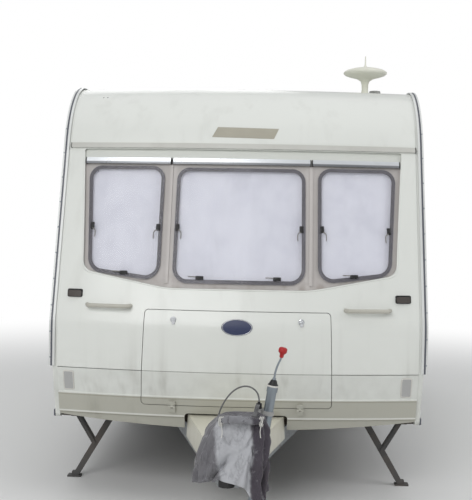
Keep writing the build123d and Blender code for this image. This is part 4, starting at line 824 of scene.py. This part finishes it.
def makeLocks():
    bm = bmesh.new()
    for x, z in trim["lockPlaces"]:
        seat = seatOn("locker_lid", x, z, -trim["lockSunk"])
        addTurned(bm, seat, trim["lock"])
        shift, size = trim["lockCover"]
        addBlock(bm, moved(seat, shift), size, trim["coverBevel"], 3)
        addTube(bm, [seat @ Vector(p) for p in trim["lockPin"]], trim["pinThick"])
    shape("lid_lock_covers", bm, chrome, "locker_lid_body")


def makeBadgeRing():
    low, high = corners("lid_badge")
    middle, half = (low + high) / 2, (high - low) / 2 * trim["ringShare"]
    ring = [(middle.x + half.x * math.cos(a), middle.z + half.z * math.sin(a)) for a in turns(56)]
    tubePiece("badge_ring", lineOn("lid_badge", ring, trim["ringLift"]), trim["ringThick"], 8,
              chrome, "locker_lid_body", 60, closed=True)


def makeNameStrip():
    # A bare raised strip on the roof cap, a leaning bar as wide as the real one
    topLeft, footLeft, footRight, topRight = [Vector((x, 0, z)) for x, z in trim["strip"]]
    bm = bmesh.new()
    sheets = []
    for lift, bevel in ((-trim["stripSunk"], 0), (trim["stripThick"], trim["stripBevel"])):
        def placeAt(u, v):
            at = footLeft.lerp(footRight, u).lerp(topLeft.lerp(topRight, u), v)
            place, out = front("roof_cap", at.x, at.z)
            return place + out * (lift - (bevel if u in (0, 1) or v in (0, 1) else 0))

        sheets.append(addGrid(bm, *trim["stripCells"], placeAt))
    under, upper = [grid[0] + [line[-1] for line in grid[1:]] + grid[-1][-2::-1]
                    + [line[0] for line in grid[-2:0:-1]] for grid in sheets]
    bridge(bm, [under, upper], capped=False)
    shape("name_strip_bare", bm, beige, smooth=50)


def makeRailEnds():
    # Black end plugs in the hinge rails and end caps on the join strip
    wide, deep, sunk, inset = trim["railEnd"]
    rows = [(seatOn(node, x, (low.z + high.z) / 2, -sunk), (wide, high.z - low.z + grow, deep))
            for node, grow in trim["railEndGrow"]
            for low, high in islands(node) for x in (low.x + inset, high.x - inset)]
    blockPiece("rail_end_plugs", rows, 0.0015, 2, darkPlastic)


def makeLampFrames():
    # Raised frames about the position lamps, the marker lamps' dark housings
    frames, bases = bmesh.new(), bmesh.new()
    for low, high in islands("front_lamps"):
        middle, half = (low + high) / 2, (high - low) / 2
        marker = middle.z > trim["lampSplit"]
        target, node = (bases, "front_panel") if marker else (frames, "front_skirt")
        grow = trim["baseGrow" if marker else "frameGrow"]
        ring = []
        for turn in turns(48):
            dx, dz = [math.copysign(min(1, abs(v) * trim["frameSquare"]), v)
                      for v in (math.cos(turn), math.sin(turn))]
            ring.append((middle.x + dx * (half.x + grow), middle.z + dz * (half.z + grow)))
        addTube(target, lineOn(node, ring, trim["frameLift"]), trim["frameThick"], closed=True)
    shape("position_lamp_frames", frames, pale, smooth=60)
    shape("marker_lamp_bases", bases, darkPlastic, smooth=60)


def makeChips():
    seats = [seatOn("roof_cap", x, z, -trim["chipSunk"]) for x, z in trim["chips"]]
    turnedPiece("brow_chips", seats, trim["chip"], 9, darkPlastic)


def makeSurroundLip():
    # The bright moulded lip round the foot of the window recess
    half = [(-x, 0, z) for x, z in trim["lip"]]
    line = bent(half + [(-x, y, z) for x, y, z in reversed(half)], 8)
    tubePiece("surround_lip", lineOn("front_panel", [(p.x, p.z) for p in line], -trim["lipSunk"]),
              trim["lipThick"], 10, "cream_body", smooth=60)


# Saucer aerial and flue cap
roof = {
    "aerial": [(0.062, 0.0), (0.062, 0.004), (0.056, 0.01), (0.036, 0.022), (0.026, 0.04), (0.022, 0.07),
               (0.023, 0.104), (0.03, 0.128), (0.058, 0.146), (0.104, 0.158), (0.134, 0.168), (0.147, 0.178),
               (0.149, 0.185), (0.143, 0.194), (0.122, 0.205), (0.088, 0.214), (0.048, 0.221), (0.016, 0.226),
               (0.008, 0.234), (0.005, 0.243), (0.0038, 0.298), (0.0005, 0.3018)],
    "flue": [(0.046, 0.0), (0.044, 0.008), (0.032, 0.014), (0.03, 0.04), (0.038, 0.046), (0.041, 0.052),
             (0.041, 0.084), (0.037, 0.094), (0.0005, 0.098)],
    "aerialPlace": (0.81, -0.525), "fluePlace": (0.905, -0.275),
    "slots": 10, "slotPlace": (0.0405, 0, 0.068), "slotSize": (0.003, 0.014, 0.018),
}


def makeRoofFittings():
    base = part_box("roof_fittings")[0][2]
    aerialSeat, flueSeat = [standing((*roof[key], base), (0, 0, 1), (0, 1, 0))
                            for key in ("aerialPlace", "fluePlace")]
    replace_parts(turnedPiece("roof_aerial", [aerialSeat], roof["aerial"], 48, aerialCream,
                            smooth=50), "roof_fittings")
    turnedPiece("roof_flue", [flueSeat], roof["flue"], 36, "grey_plastic", smooth=50)
    rows = [(moved(flueSeat @ Matrix.Rotation(angle, 4, "Z"), roof["slotPlace"]), roof["slotSize"])
            for angle in turns(roof["slots"])]
    blockPiece("flue_slots", rows, 0.001, 1, darkPlastic)


makeSurroundLip()
makeRoofFittings()
makeLocks()
makeBadgeRing()
makeNameStrip()
makeRailEnds()
makeLampFrames()
makeChips()
print("caravan: front trim placed")

# The jockey wheel's crank, knob and collar
jockey = {
    "knob": [(0.0008, 0), (0.0085, 0), (0.0105, 0.006), (0.011, 0.016), (0.014, 0.021), (0.0195, 0.025),
             (0.0215, 0.031), (0.0215, 0.041), (0.0195, 0.048), (0.013, 0.0515), (0.0008, 0.0525)],
    "boot": [(0.0262, 0.0006), (0.0262, 0.005), (0.0225, 0.009), (0.0185, 0.018), (0.015, 0.027),
             (0.0105, 0.031), (0.0006, 0.0312)],
    "ring": [(0.0285, -0.004), (0.0285, 0.002), (0.0265, 0.0035), (0.0006, 0.0036)],
    "collar": [(0.009, 0), (0.0095, 0.004), (0.009, 0.012), (0.0075, 0.015), (0.0005, 0.016)],
    "rod": [(0, 0, -0.004), (0.004, 0, 0.03), (0.008, 0, 0.05), (0.018, 0, 0.08), (0.034, 0, 0.112),
            (0.038, 0, 0.136)],
    "rodThick": 0.0052, "rodInset": 0.0062, "collarLean": (0.156, 0, 0.988), "collarLift": 0.0005,
    "neck": 0.022,
    "top": (0.205, -2.525, 0.83), "along": (0.15643, 0.0, 0.98769),
}


def makeCrank():
    # A cranked rod out of the tube's cap, with its knob on a short neck
    low = next(corners("jockey_crank"))
    foot = Vector((low.x + jockey["rodInset"], jockey["top"][1], low.z))
    bm = bmesh.new()
    rod = bent([foot + Vector(p) for p in jockey["rod"]], 8)
    addTube(bm, rod, jockey["rodThick"], 14)
    seat = standing(foot + Vector((0, 0, jockey["collarLift"])), jockey["collarLean"], (0, 1, 0))
    addTurned(bm, seat, jockey["collar"], 20)
    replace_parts(shape("jockey_crank_rod", bm, "zinc_steel", smooth=50), "jockey_crank")
    lean = (rod[-1] - rod[-4]).normalized()
    seat = standing(rod[-1] - lean * jockey["neck"], lean, (0, 1, 0))
    turnedPiece("crank_knob", [seat], jockey["knob"], 36, knobRed, smooth=50)
    seat = standing(jockey["top"], jockey["along"], (0, 1, 0))
    for part, finish in (("boot", darkPlastic), ("ring", pale)):
        turnedPiece("jockey_" + part, [seat], jockey[part], 32, finish)


makeCrank()
print("caravan: knob turned")

# Hitch cover: a slack weathered bag over the coupling head
cover = {
    # height, middle in X, width, front, rear: the bag before it settles
    "rows": [(0.345, 0.018, 0.372, -2.922, -2.61), (0.43, 0.019, 0.372, -2.92, -2.606),
             (0.52, 0.024, 0.362, -2.912, -2.602), (0.61, 0.036, 0.338, -2.902, -2.602),
             (0.68, 0.05, 0.29, -2.888, -2.606), (0.722, 0.066, 0.222, -2.872, -2.62)],
    "top": 0.722, "crown": 0.706, "crownRings": (0.8, 0.55, 0.28), "roundness": 0.62,
    "around": 160, "up": 56, "seed": 5, "frames": 22, "deep": 0.022, "thick": 0.0022, "room": 0.01,
    "hem": (0.452, 0.095, 0.012), "waves": 9, "creases": 26, "tall": 0.43, "girth": 1.1,
    # Cloth tones: the light tone is painted light on the front, the dark tone painted shade on the right
    # side, which is also wetter cloth
    "light": paint(176, 177, 181), "mid": paint(108, 107, 111), "dark": paint(64, 58, 67),
    "rests": ("coupling_head", "overrun_housing", "jockey_tube", "plug_holder"),
    "cloth": {"quality": 5, "mass": 0.25, "tension_stiffness": 12, "compression_stiffness": 12,
              "shear_stiffness": 6, "bending_stiffness": 0.05, "shrink_min": -0.06, "pin_stiffness": 0.6,
              "vertex_group_mass": "held"},
    "fabricGap": 0.003, "middle": -2.76, "creaseTall": 0.11, "crownWave": 0.004, "heldRings": 5,
    "crumple": ((11.0, 0.55), (27.0, 0.3)),  # scale and share
}


def coverRow(height):
    rows = cover["rows"]
    for low, high in zip(rows, rows[1:]):
        if height <= high[0]:
            t = max(0.0, (height - low[0]) / (high[0] - low[0]))
            return [a + (b - a) * t for a, b in zip(low, high)][1:]
    return list(rows[-1][1:])


def coverPoint(turn, height, shrink=1.0):
    middle, wide, nose, rear = coverRow(height)
    c, s = [math.copysign(abs(v) ** cover["roundness"], v) for v in (math.cos(turn), math.sin(turn))]
    return Vector((middle + shrink * wide / 2 * c,
                   (nose + rear) / 2 + shrink * (rear - nose) / 2 * s, height))


def coverFinish():
    # Painted light on the cloth: the front panel lighter, mid grey to the left, the flap to the right dark as
    # shade and wetter cloth; painted shade in the folds and under the rolled top
    f = Finish("hitchCoverCloth", cover["mid"], rough=0.88, Sheen_Weight=0.2, Sheen_Roughness=0.5)
    height, leaning = f.axis("Z"), f.stretched((1, 1, 0.6), (0, 0.6, 0))
    across = f.axis("X") + (f.noise(7.0, 4) - 0.5) * 0.07
    slope = (height - 0.6) * 0.16
    # Front painted lighter and the right side darker: painted light and painted shade
    light = f.ramp(across + slope, -0.06, -0.038) * f.ramp(across, 0.128, 0.106)
    base = f.blend(light * f.ramp(f.axis("Y"), -2.8, -2.84), cover["mid"], cover["light"])
    base = f.blend(f.ramp(across, 0.104, 0.126), base, cover["dark"])
    ridge = (f.noise(9.0, 5, at=leaning) - 0.5).size()
    # Painted shade in the folds and near the top, under the rolled edge
    crease = f.ramp(ridge, 0.022, 0.002) * 0.5 + f.ramp(height, 0.706, 0.722) * 1.3
    base = f.blend(crease * 0.45, base, paint(66, 64, 70))
    base = f.blend(f.patch(5.0, 5, 0.45, 0.75) * f.ramp(height, 0.7, 0.36) * 0.4, base, paint(72, 66, 58))
    base = f.blend(f.patch(38.0, 3, 0.6, 0.74) * 0.22, base, paint(196, 197, 200))
    weave = f.ribs("X", 2400.0) * f.ribs("Z", 2400.0)
    return f.look(f.blend(weave * 0.12, base, paint(40, 40, 44)), 0.78 + crease * 0.15,
                  f.ramp(ridge, 0.0, 0.06) + f.noise(26.0, 3, at=leaning) * 0.4 + weave * 0.04, 0.7, 0.006)


def settle(piece, pinned):
    # Blender's own cloth, run here and then kept as plain mesh
    stops = []
    for node in cover["rests"]:
        solid = newObject("settleOn_" + node, nodes[node].data.copy())
        solid.modifiers.new("wall", "COLLISION")
        solid.collision.thickness_outer = cover["fabricGap"]
        stops.append(solid)
    group = piece.vertex_groups.new(name="held")
    for index, share in pinned.items():
        group.add([index], share, "REPLACE")
    slack = piece.modifiers.new("slack", "CLOTH")
    for key, value in cover["cloth"].items():
        setattr(slack.settings, key, value)
    slack.collision_settings.distance_min = cover["fabricGap"]
    slack.collision_settings.use_self_collision = False
    slack.point_cache.frame_start, slack.point_cache.frame_end = 1, cover["frames"]
    for step in range(1, cover["frames"] + 1):
        scene.frame_set(step)
    piece.data = applied(piece)
    piece.vertex_groups.clear()
    scene.frame_set(1)
    for solid in stops:
        bpy.data.objects.remove(solid)


def makeCover():
    pick = random.Random(cover["seed"])
    waves = [(pick.randint(3, 13), pick.uniform(0, 6.28), pick.uniform(-9, 9), pick.uniform(0.4, 1.0))
             for _ in range(cover["waves"])]
    creases = [(pick.uniform(0, 6.28), pick.uniform(0.42, 0.66), pick.uniform(-5, 5),
                pick.uniform(0.05, 0.12), pick.uniform(0.012, 0.03)) for _ in range(cover["creases"])]
    around, up = cover["around"], cover["up"]
    hemLevel, hemDrop, hemWave = cover["hem"]
    bm = bmesh.new()
    rings = []
    for r in range(up + 1):
        v = r / up
        line = []
        for turn in turns(around):
            right = max(0.0, math.cos(turn))
            hem = hemLevel - hemDrop * min(1, right * 1.7) ** 2 + hemWave * math.sin(3 * turn + 1)
            height = hem + (cover["top"] - hem) * v
            at = coverPoint(turn, height)
            out = Vector((at.x - coverRow(height)[0], at.y - cover["middle"], 0)).normalized()
            fold = sum(size * math.sin(n * turn + phase + slope * height)
                       for n, phase, slope, size in waves) / 3
            dent = 0.0
            for where, level, slope, wide, deep in creases:
                gap = (turn - where - slope * (height - level) + math.pi) % (2 * math.pi) - math.pi
                dent += deep * math.exp(-(gap / wide) ** 2) \
                    * math.exp(-((height - level) / cover["creaseTall"]) ** 2)
            crumple = sum(noise.noise(at * scale) * share for scale, share in cover["crumple"])
            share = 1.15 - 0.75 * v
            at += out * (cover["deep"] * (fold * 0.8 - 0.75 + crumple) * share - dent * share)
            line.append(bm.verts.new(at))
        rings.append(line)
    for k, shrink in enumerate(cover["crownRings"]):
        line = []
        for turn in turns(around):
            at = coverPoint(turn, cover["top"], shrink)
            at.z += cover["crownWave"] * (math.sin(4 * turn + k) - (k + 1))
            line.append(bm.verts.new(at))
        rings.append(line)
    bridge(bm, rings, capped=False)
    middle, _, nose, rear = coverRow(cover["top"])
    peak = bm.verts.new((middle, (nose + rear) / 2, cover["crown"]))
    for a in range(around):
        bm.faces.new((rings[-1][a], rings[-1][(a + 1) % around], peak))
    flat = sum(face.calc_area() for face in bm.faces)
    piece = newObject("hitch_cover_cloth", plainMesh("hitchCoverCloth", bm))
    held = {}
    for index in range(len(piece.data.vertices)):
        r = index // around
        held[index] = 1.0 if r > up - cover["heldRings"] else 0.22 + 0.25 * (r / up) ** 2
    settle(piece, held)
    low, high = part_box("hitch_cover")
    for vert in piece.data.vertices:
        for i in range(3):
            vert.co[i] = min(max(vert.co[i], low[i] - cover["room"]), high[i] + cover["room"])
    thick = piece.modifiers.new("clothThickness", "SOLIDIFY")
    thick.thickness, thick.offset = cover["thick"], 0
    softer = piece.modifiers.new("softer", "SUBSURF")
    softer.levels = softer.render_levels = 1
    piece.data = applied(piece)
    wear(piece, coverFinish())
    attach(piece, "caravan")
    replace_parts(piece, "hitch_cover")
    return piece, flat


# The cover's rolled top edge, its ties and strap
rolled = {
    "line": [(-0.036, -2.872, 0.722), (0, -2.905, 0.742), (0.05, -2.914, 0.742), (0.11, -2.908, 0.736),
             (0.168, -2.868, 0.728)],
    "thick": 0.0175, "steps": 20, "seed": 11, "loop": 0.021, "loopSpread": 0.006,
    "tail": [(0.0, -0.02, -0.004), (0.004, -0.026, -0.022), (0.008, -0.024, -0.048), (0.003, -0.026, -0.07)],
    "strap": [(0.134, -2.56, 0.742), (0.132, -2.62, 0.748), (0.128, -2.7, 0.742), (0.122, -2.8, 0.742),
              (0.118, -2.88, 0.752)],
    "strapWide": 0.02, "strapThick": 0.0022, "cordThick": 0.0022, "tailThick": 0.002, "loopTurn": 0.3,
    "ripples": ((0.13, 3, 9), (0.1, 2, -23), (0.06, 5, 41)),  # depth, lobes round, twist along
}


def makeCoverRoll(clothFinish):
    bm = bmesh.new()
    pick = random.Random(rolled["seed"])
    line = bent(rolled["line"], 14)
    count = len(line)
    bumps = [pick.uniform(0, 6.28) for _ in range(3)]
    rings = []
    for i, point in enumerate(line):
        t = i / (count - 1)
        along = (line[min(i + 1, count - 1)] - line[max(i - 1, 0)]).normalized()
        side = along.cross(Vector((0, 0, 1))).normalized()
        over = side.cross(along)
        wide = rolled["thick"] * (0.55 + 0.45 * math.sin(math.pi * min(1, max(0, t * 1.06 - 0.03))) ** 0.5)
        ring = []
        for turn in turns(rolled["steps"]):
            ripple = 1 + sum(deep * math.sin(lobes * turn + twist * t + bump)
                             for (deep, lobes, twist), bump in zip(rolled["ripples"], bumps))
            spoke = side * math.cos(turn) * 1.15 + over * math.sin(turn)
            ring.append(bm.verts.new(point + spoke * wide * ripple))
        rings.append(ring)
    bridge(bm, rings)
    piece = shape("hitch_cover_roll", bm, clothFinish, smooth=80)
    bm = bmesh.new()
    reach = rolled["loop"]
    for middle, spin in ((line[2], 1), (line[-3], -1)):
        for k in range(3):
            centre = middle + Vector((rolled["loopSpread"] * (k - 1), 0, -0.001))
            lead = rolled["loopTurn"] * k
            loop = [centre + Vector((0.004 * math.cos(a), reach * math.cos(a + lead),
                                     reach * math.sin(a + lead))) for a in turns(20)]
            addTube(bm, loop, rolled["cordThick"], 6, closed=True)
        tie = [middle + Vector((x * spin, y, z)) for x, y, z in rolled["tail"]]
        addTube(bm, bent(tie, 6), rolled["tailThick"], 6)
    shape("hitch_cover_ties", bm, cordWhite, smooth=80)
    strap = bent(rolled["strap"], 10)
    rows = [(standing((low + high) / 2, (0.1, 0, 1), (high - low).normalized()),
             (rolled["strapWide"], (high - low).length * 1.05, rolled["strapThick"]))
            for low, high in zip(strap, strap[1:])]
    blockPiece("hitch_cover_strap", rows, 0.0006, 1, strapBlack)
    return piece


coverPiece, coverFlat = makeCover()
rollPiece = makeCoverRoll(coverPiece.data.materials[0])
coverArea = cover["girth"] * cover["tall"]
min(coverArea, max(0.3 * coverArea, coverFlat))
print("caravan: hitch cover settled, flat area", round(coverFlat, 3))


def screwRun(name, places, profile, steps, body="caravan"):
    # Geometry Nodes: one turned screw, instanced on every vertex of a track along its normal
    bm = bmesh.new()
    addTurned(bm, Matrix.Identity(4), profile, steps)
    one = bpy.data.objects.new(name + "One", solidMesh(name + "One", bm))
    track = bpy.data.meshes.new(name + "Track")
    track.from_pydata([tuple(place) for place, _ in places], [], [])
    looks = track.attributes.new("looks", "FLOAT_VECTOR", "POINT")
    for row, (_, out) in zip(looks.data, places):
        row.vector = out
    tree = bpy.data.node_groups.new(name + "Nodes", "GeometryNodeTree")
    inputs = {"Size": ("Float", 1.0), "Turn seed": ("Int", 5)}
    tree.interface.new_socket("Geometry", in_out="INPUT", socket_type="NodeSocketGeometry")
    tree.interface.new_socket("Geometry", in_out="OUTPUT", socket_type="NodeSocketGeometry")
    for label, (kind, value) in inputs.items():
        socket = tree.interface.new_socket(label, in_out="INPUT", socket_type="NodeSocket" + kind)
        socket.default_value = value
    net = Net(tree)
    given = tree.nodes.new("NodeGroupInput").outputs
    tree.nodes.new("NodeGroupOutput").name = "result"
    points = net.node("GeometryNodeMeshToPoints", None, {"Mesh": Wire(net, given["Geometry"])})
    aim = net.node("GeometryNodeInputNamedAttribute", {"data_type": "FLOAT_VECTOR"}, {"Name": "looks"})
    upright = net.node("FunctionNodeAlignRotationToVector", {"axis": "Z"}, {"Vector": aim})
    angle = net.node("FunctionNodeRandomValue", None, {
        3: 6.28, "Seed": Wire(net, given["Turn seed"])}, outlet=1)
    spin = net.node("FunctionNodeAxisAngleToRotation", None, {"Angle": angle})
    turned = net.node("FunctionNodeRotateRotation", {"rotation_space": "LOCAL"}, {
        "Rotation": upright, "Rotate By": spin})
    source = net.node("GeometryNodeObjectInfo", None, {"Object": one}, outlet="Geometry")
    copies = net.node("GeometryNodeInstanceOnPoints", None, {
        "Points": points, "Instance": source, "Rotation": turned, "Scale": Wire(net, given["Size"])})
    solid = net.node("GeometryNodeRealizeInstances", None, {"Geometry": copies})
    dressed = net.node("GeometryNodeSetMaterial", None, {
        "Geometry": solid, "Material": finishes["zinc_steel"]})
    net.join(dressed, "result")
    holder = newObject(name + "Holder", track)
    step = holder.modifiers.new(name, "NODES")
    step.node_group = tree
    for item in tree.interface.items_tree:
        if item.name in inputs:
            step[item.identifier] = inputs[item.name][1]
    made = applied(holder)
    bpy.data.objects.remove(holder)
    bpy.data.objects.remove(one)
    made.shade_smooth()
    made.set_sharp_from_angle(angle=math.radians(40))
    makePiece(name, made, "zinc_steel", body)


# Screws along the awning rails
railScrew = {
    "head": [(0.004, 0.0), (0.004, 0.0005), (0.0033, 0.0011), (0.0016, 0.0014), (0.001, 0.0008),
             (0.0003, 0.0007)],
    "out": 1.0835, "sunk": 0.0002, "heights": [0.82 + 0.15 * n for n in range(10)],
    "lengthwise": [-0.9 + 0.2 * n for n in range(17)],
}


def makeRailScrews():
    places = []

    def seat(start, aim, good):
        place, out = hit("awning_rails", start, aim)
        if good(out):
            places.append((place - out * railScrew["sunk"], out))

    for x in (-railScrew["out"], railScrew["out"]):
        for z in railScrew["heights"]:
            for y, aim in ((-4.0, (0, 1, 0)), (4.0, (0, -1, 0))):
                seat((x, y, z), aim, lambda out: abs(out.y) > 0.2)
        for y in railScrew["lengthwise"]:
            seat((x, y, 4), (0, 0, -1), lambda out: out.z > 0.3)
    screwRun("rail_screws", places, railScrew["head"], 10)


# Road wheels: bolts, hub cap, valve and tread blocks
wheel = {
    "centre": (0.935, 0.75, 0.304), "radius": 0.304, "blocks": 60, "bolts": 5, "boltCircle": 0.056,
    "valveHeight": 0.136,
    "bolt": [(0.0125, 0.0), (0.0125, 0.004), (0.0095, 0.006), (0.0095, 0.016), (0.008, 0.018),
             (0.0004, 0.0185)],
    "hub": [(0.03, 0), (0.031, 0.006), (0.029, 0.02), (0.024, 0.028), (0.012, 0.032), (0.0006, 0.033)],
    "valve": [(-0.002, 0.0), (0.012, -0.002), (0.026, -0.007)], "valveThick": 0.0036,
    "treadRows": [(-0.058, 0.02, 0.0024), (-0.0228, 0.014, 0.0012), (0.0, 0.014, 0.0012),
                  (0.0228, 0.014, 0.0012), (0.058, 0.02, 0.0024)],  # place across, width, how far sunk
    "blockLong": 0.0055, "blockTall": 0.0028, "blockTurn": 0.25, "boltSunk": 0.001, "hubSunk": 0.002,
}


def makeWheelParts():
    for name, side in (("left", -1), ("right", 1)):
        body, rim = "wheel_" + name, "rim_" + name
        out = Vector((side, 0, 0))
        x, y, z = wheel["centre"]
        centre = Vector((side * x, y, z))

        def onRim(shift):
            return hit(rim, centre + out * 0.3 + Vector((0, *shift)), -out)[0]

        circle = wheel["boltCircle"]
        bolts = [(onRim((circle * math.cos(a), circle * math.sin(a))) - out * wheel["boltSunk"], out)
                 for a in turns(wheel["bolts"])]
        screwRun("wheel_bolts_" + name, bolts, wheel["bolt"], 6, body)
        hub = Vector((onRim((0, 0)).x, y, z)) - out * wheel["hubSunk"]
        turnedPiece("hub_cap_" + name, [standing(hub, out)], wheel["hub"], 28, chrome, body)
        foot = onRim((0, wheel["valveHeight"]))
        valve = bent([foot + out * far + Vector((0, 0, drop)) for far, drop in wheel["valve"]], 5)
        tubePiece("tyre_valve_" + name, valve, wheel["valveThick"], 10,
                  "black_plastic", body)
        blocks = []
        for turn in turns(wheel["blocks"]):
            for row, (across, wide, sunk) in enumerate(wheel["treadRows"]):
                odd = row % 2
                at = turn + odd * math.pi / wheel["blocks"]
                look = Vector((0, math.cos(at), math.sin(at)))
                seat = standing(centre + out * across + look * (wheel["radius"] - sunk), look, (1, 0, 0.001))
                lean = Matrix.Rotation(wheel["blockTurn"] if odd else -wheel["blockTurn"], 4, "Z")
                blocks.append((seat @ lean, (wheel["blockLong"], wide, wheel["blockTall"])))
        blockPiece("tread_ribs_" + name, blocks, 0.0006, 1, "tyre_rubber", body)


# Rear plate, lamps, reflectors and door locks
tail = {
    "plate": (0.52, 0.111, 0.006), "plateHeight": 0.74, "plateLamp": (0.06, 0.028, 0.03),
    "plateLamps": (-0.1, 0.1), "plateLampHeight": 0.825,
    "triangleFoot": [(-0.075, -0.06, 0), (0.075, -0.06, 0), (0, 0.07, 0)],
    "triangleTop": [(-0.07, -0.057, 0.007), (0.07, -0.057, 0.007), (0, 0.064, 0.007)],
    "trianglePlace": (0.62, 0.62), "triangleLift": 0.002, "plateLift": 0.004, "lampLift": 0.01,
    "doorLock": [(0.011, 0), (0.011, 0.003), (0.009, 0.005), (0.0005, 0.005)], "doorLocks": (1.25, 1.6),
    "doorLockY": 0.13, "sideReflector": (0.07, 0.028, 0.008), "sideReflectors": (-1.05, 0.1, 1.45, 2.3),
    "sideReflectorHeight": 0.56, "reflectorLift": 0.003, "doorLockSunk": 0.001,
}


def squareSeat(found, lift, aim):
    # A frame just off a found surface that looks straight along one axis
    return standing(found[0] + found[1] * lift, aim)


def makeRear():
    seat = squareSeat(back("rear_panel", 0, tail["plateHeight"]), tail["plateLift"], (0, 1, 0))
    blockPiece("rear_plate_bare", [(seat, tail["plate"])], 0.004, 2, plateYellow)
    rows = [(squareSeat(back("rear_panel", x, tail["plateLampHeight"]), tail["lampLift"], (0, 1, 0)),
             tail["plateLamp"]) for x in tail["plateLamps"]]
    blockPiece("plate_lamps", rows, 0.006, 3, darkPlastic)
    bm = bmesh.new()
    for side in (-1, 1):
        x, z = tail["trianglePlace"]
        place, out = back("rear_panel", side * x, z)
        look = standing(place + out * tail["triangleLift"], out)
        bridge(bm, [[bm.verts.new(look @ Vector(p)) for p in tail[key]]
                    for key in ("triangleFoot", "triangleTop")])
    shape("rear_reflectors", bm, "red_lens")
    seats = [squareSeat(hit("entrance_door", (3, tail["doorLockY"], z), (-1, 0, 0)), -tail["doorLockSunk"],
                        (1, 0, 0)) for z in tail["doorLocks"]]
    turnedPiece("door_locks", seats, tail["doorLock"], 20, chrome, "entrance_door_body")
    rows = []
    for node, side in (("side_wall_left", -1), ("side_wall_right", 1)):
        for y in tail["sideReflectors"]:
            found = hit(node, (side * 3, y, tail["sideReflectorHeight"]), (-side, 0, 0))
            if abs(found[0].x) > 1.0:
                seat = squareSeat(found, tail["reflectorLift"], (side, 0, 0))
                rows.append((seat, tail["sideReflector"]))
    blockPiece("side_reflectors", rows, 0.003, 2, amberLens)


makeRailScrews()
makeWheelParts()
makeRear()
print("caravan: wheels, rear and rail screws dressed")
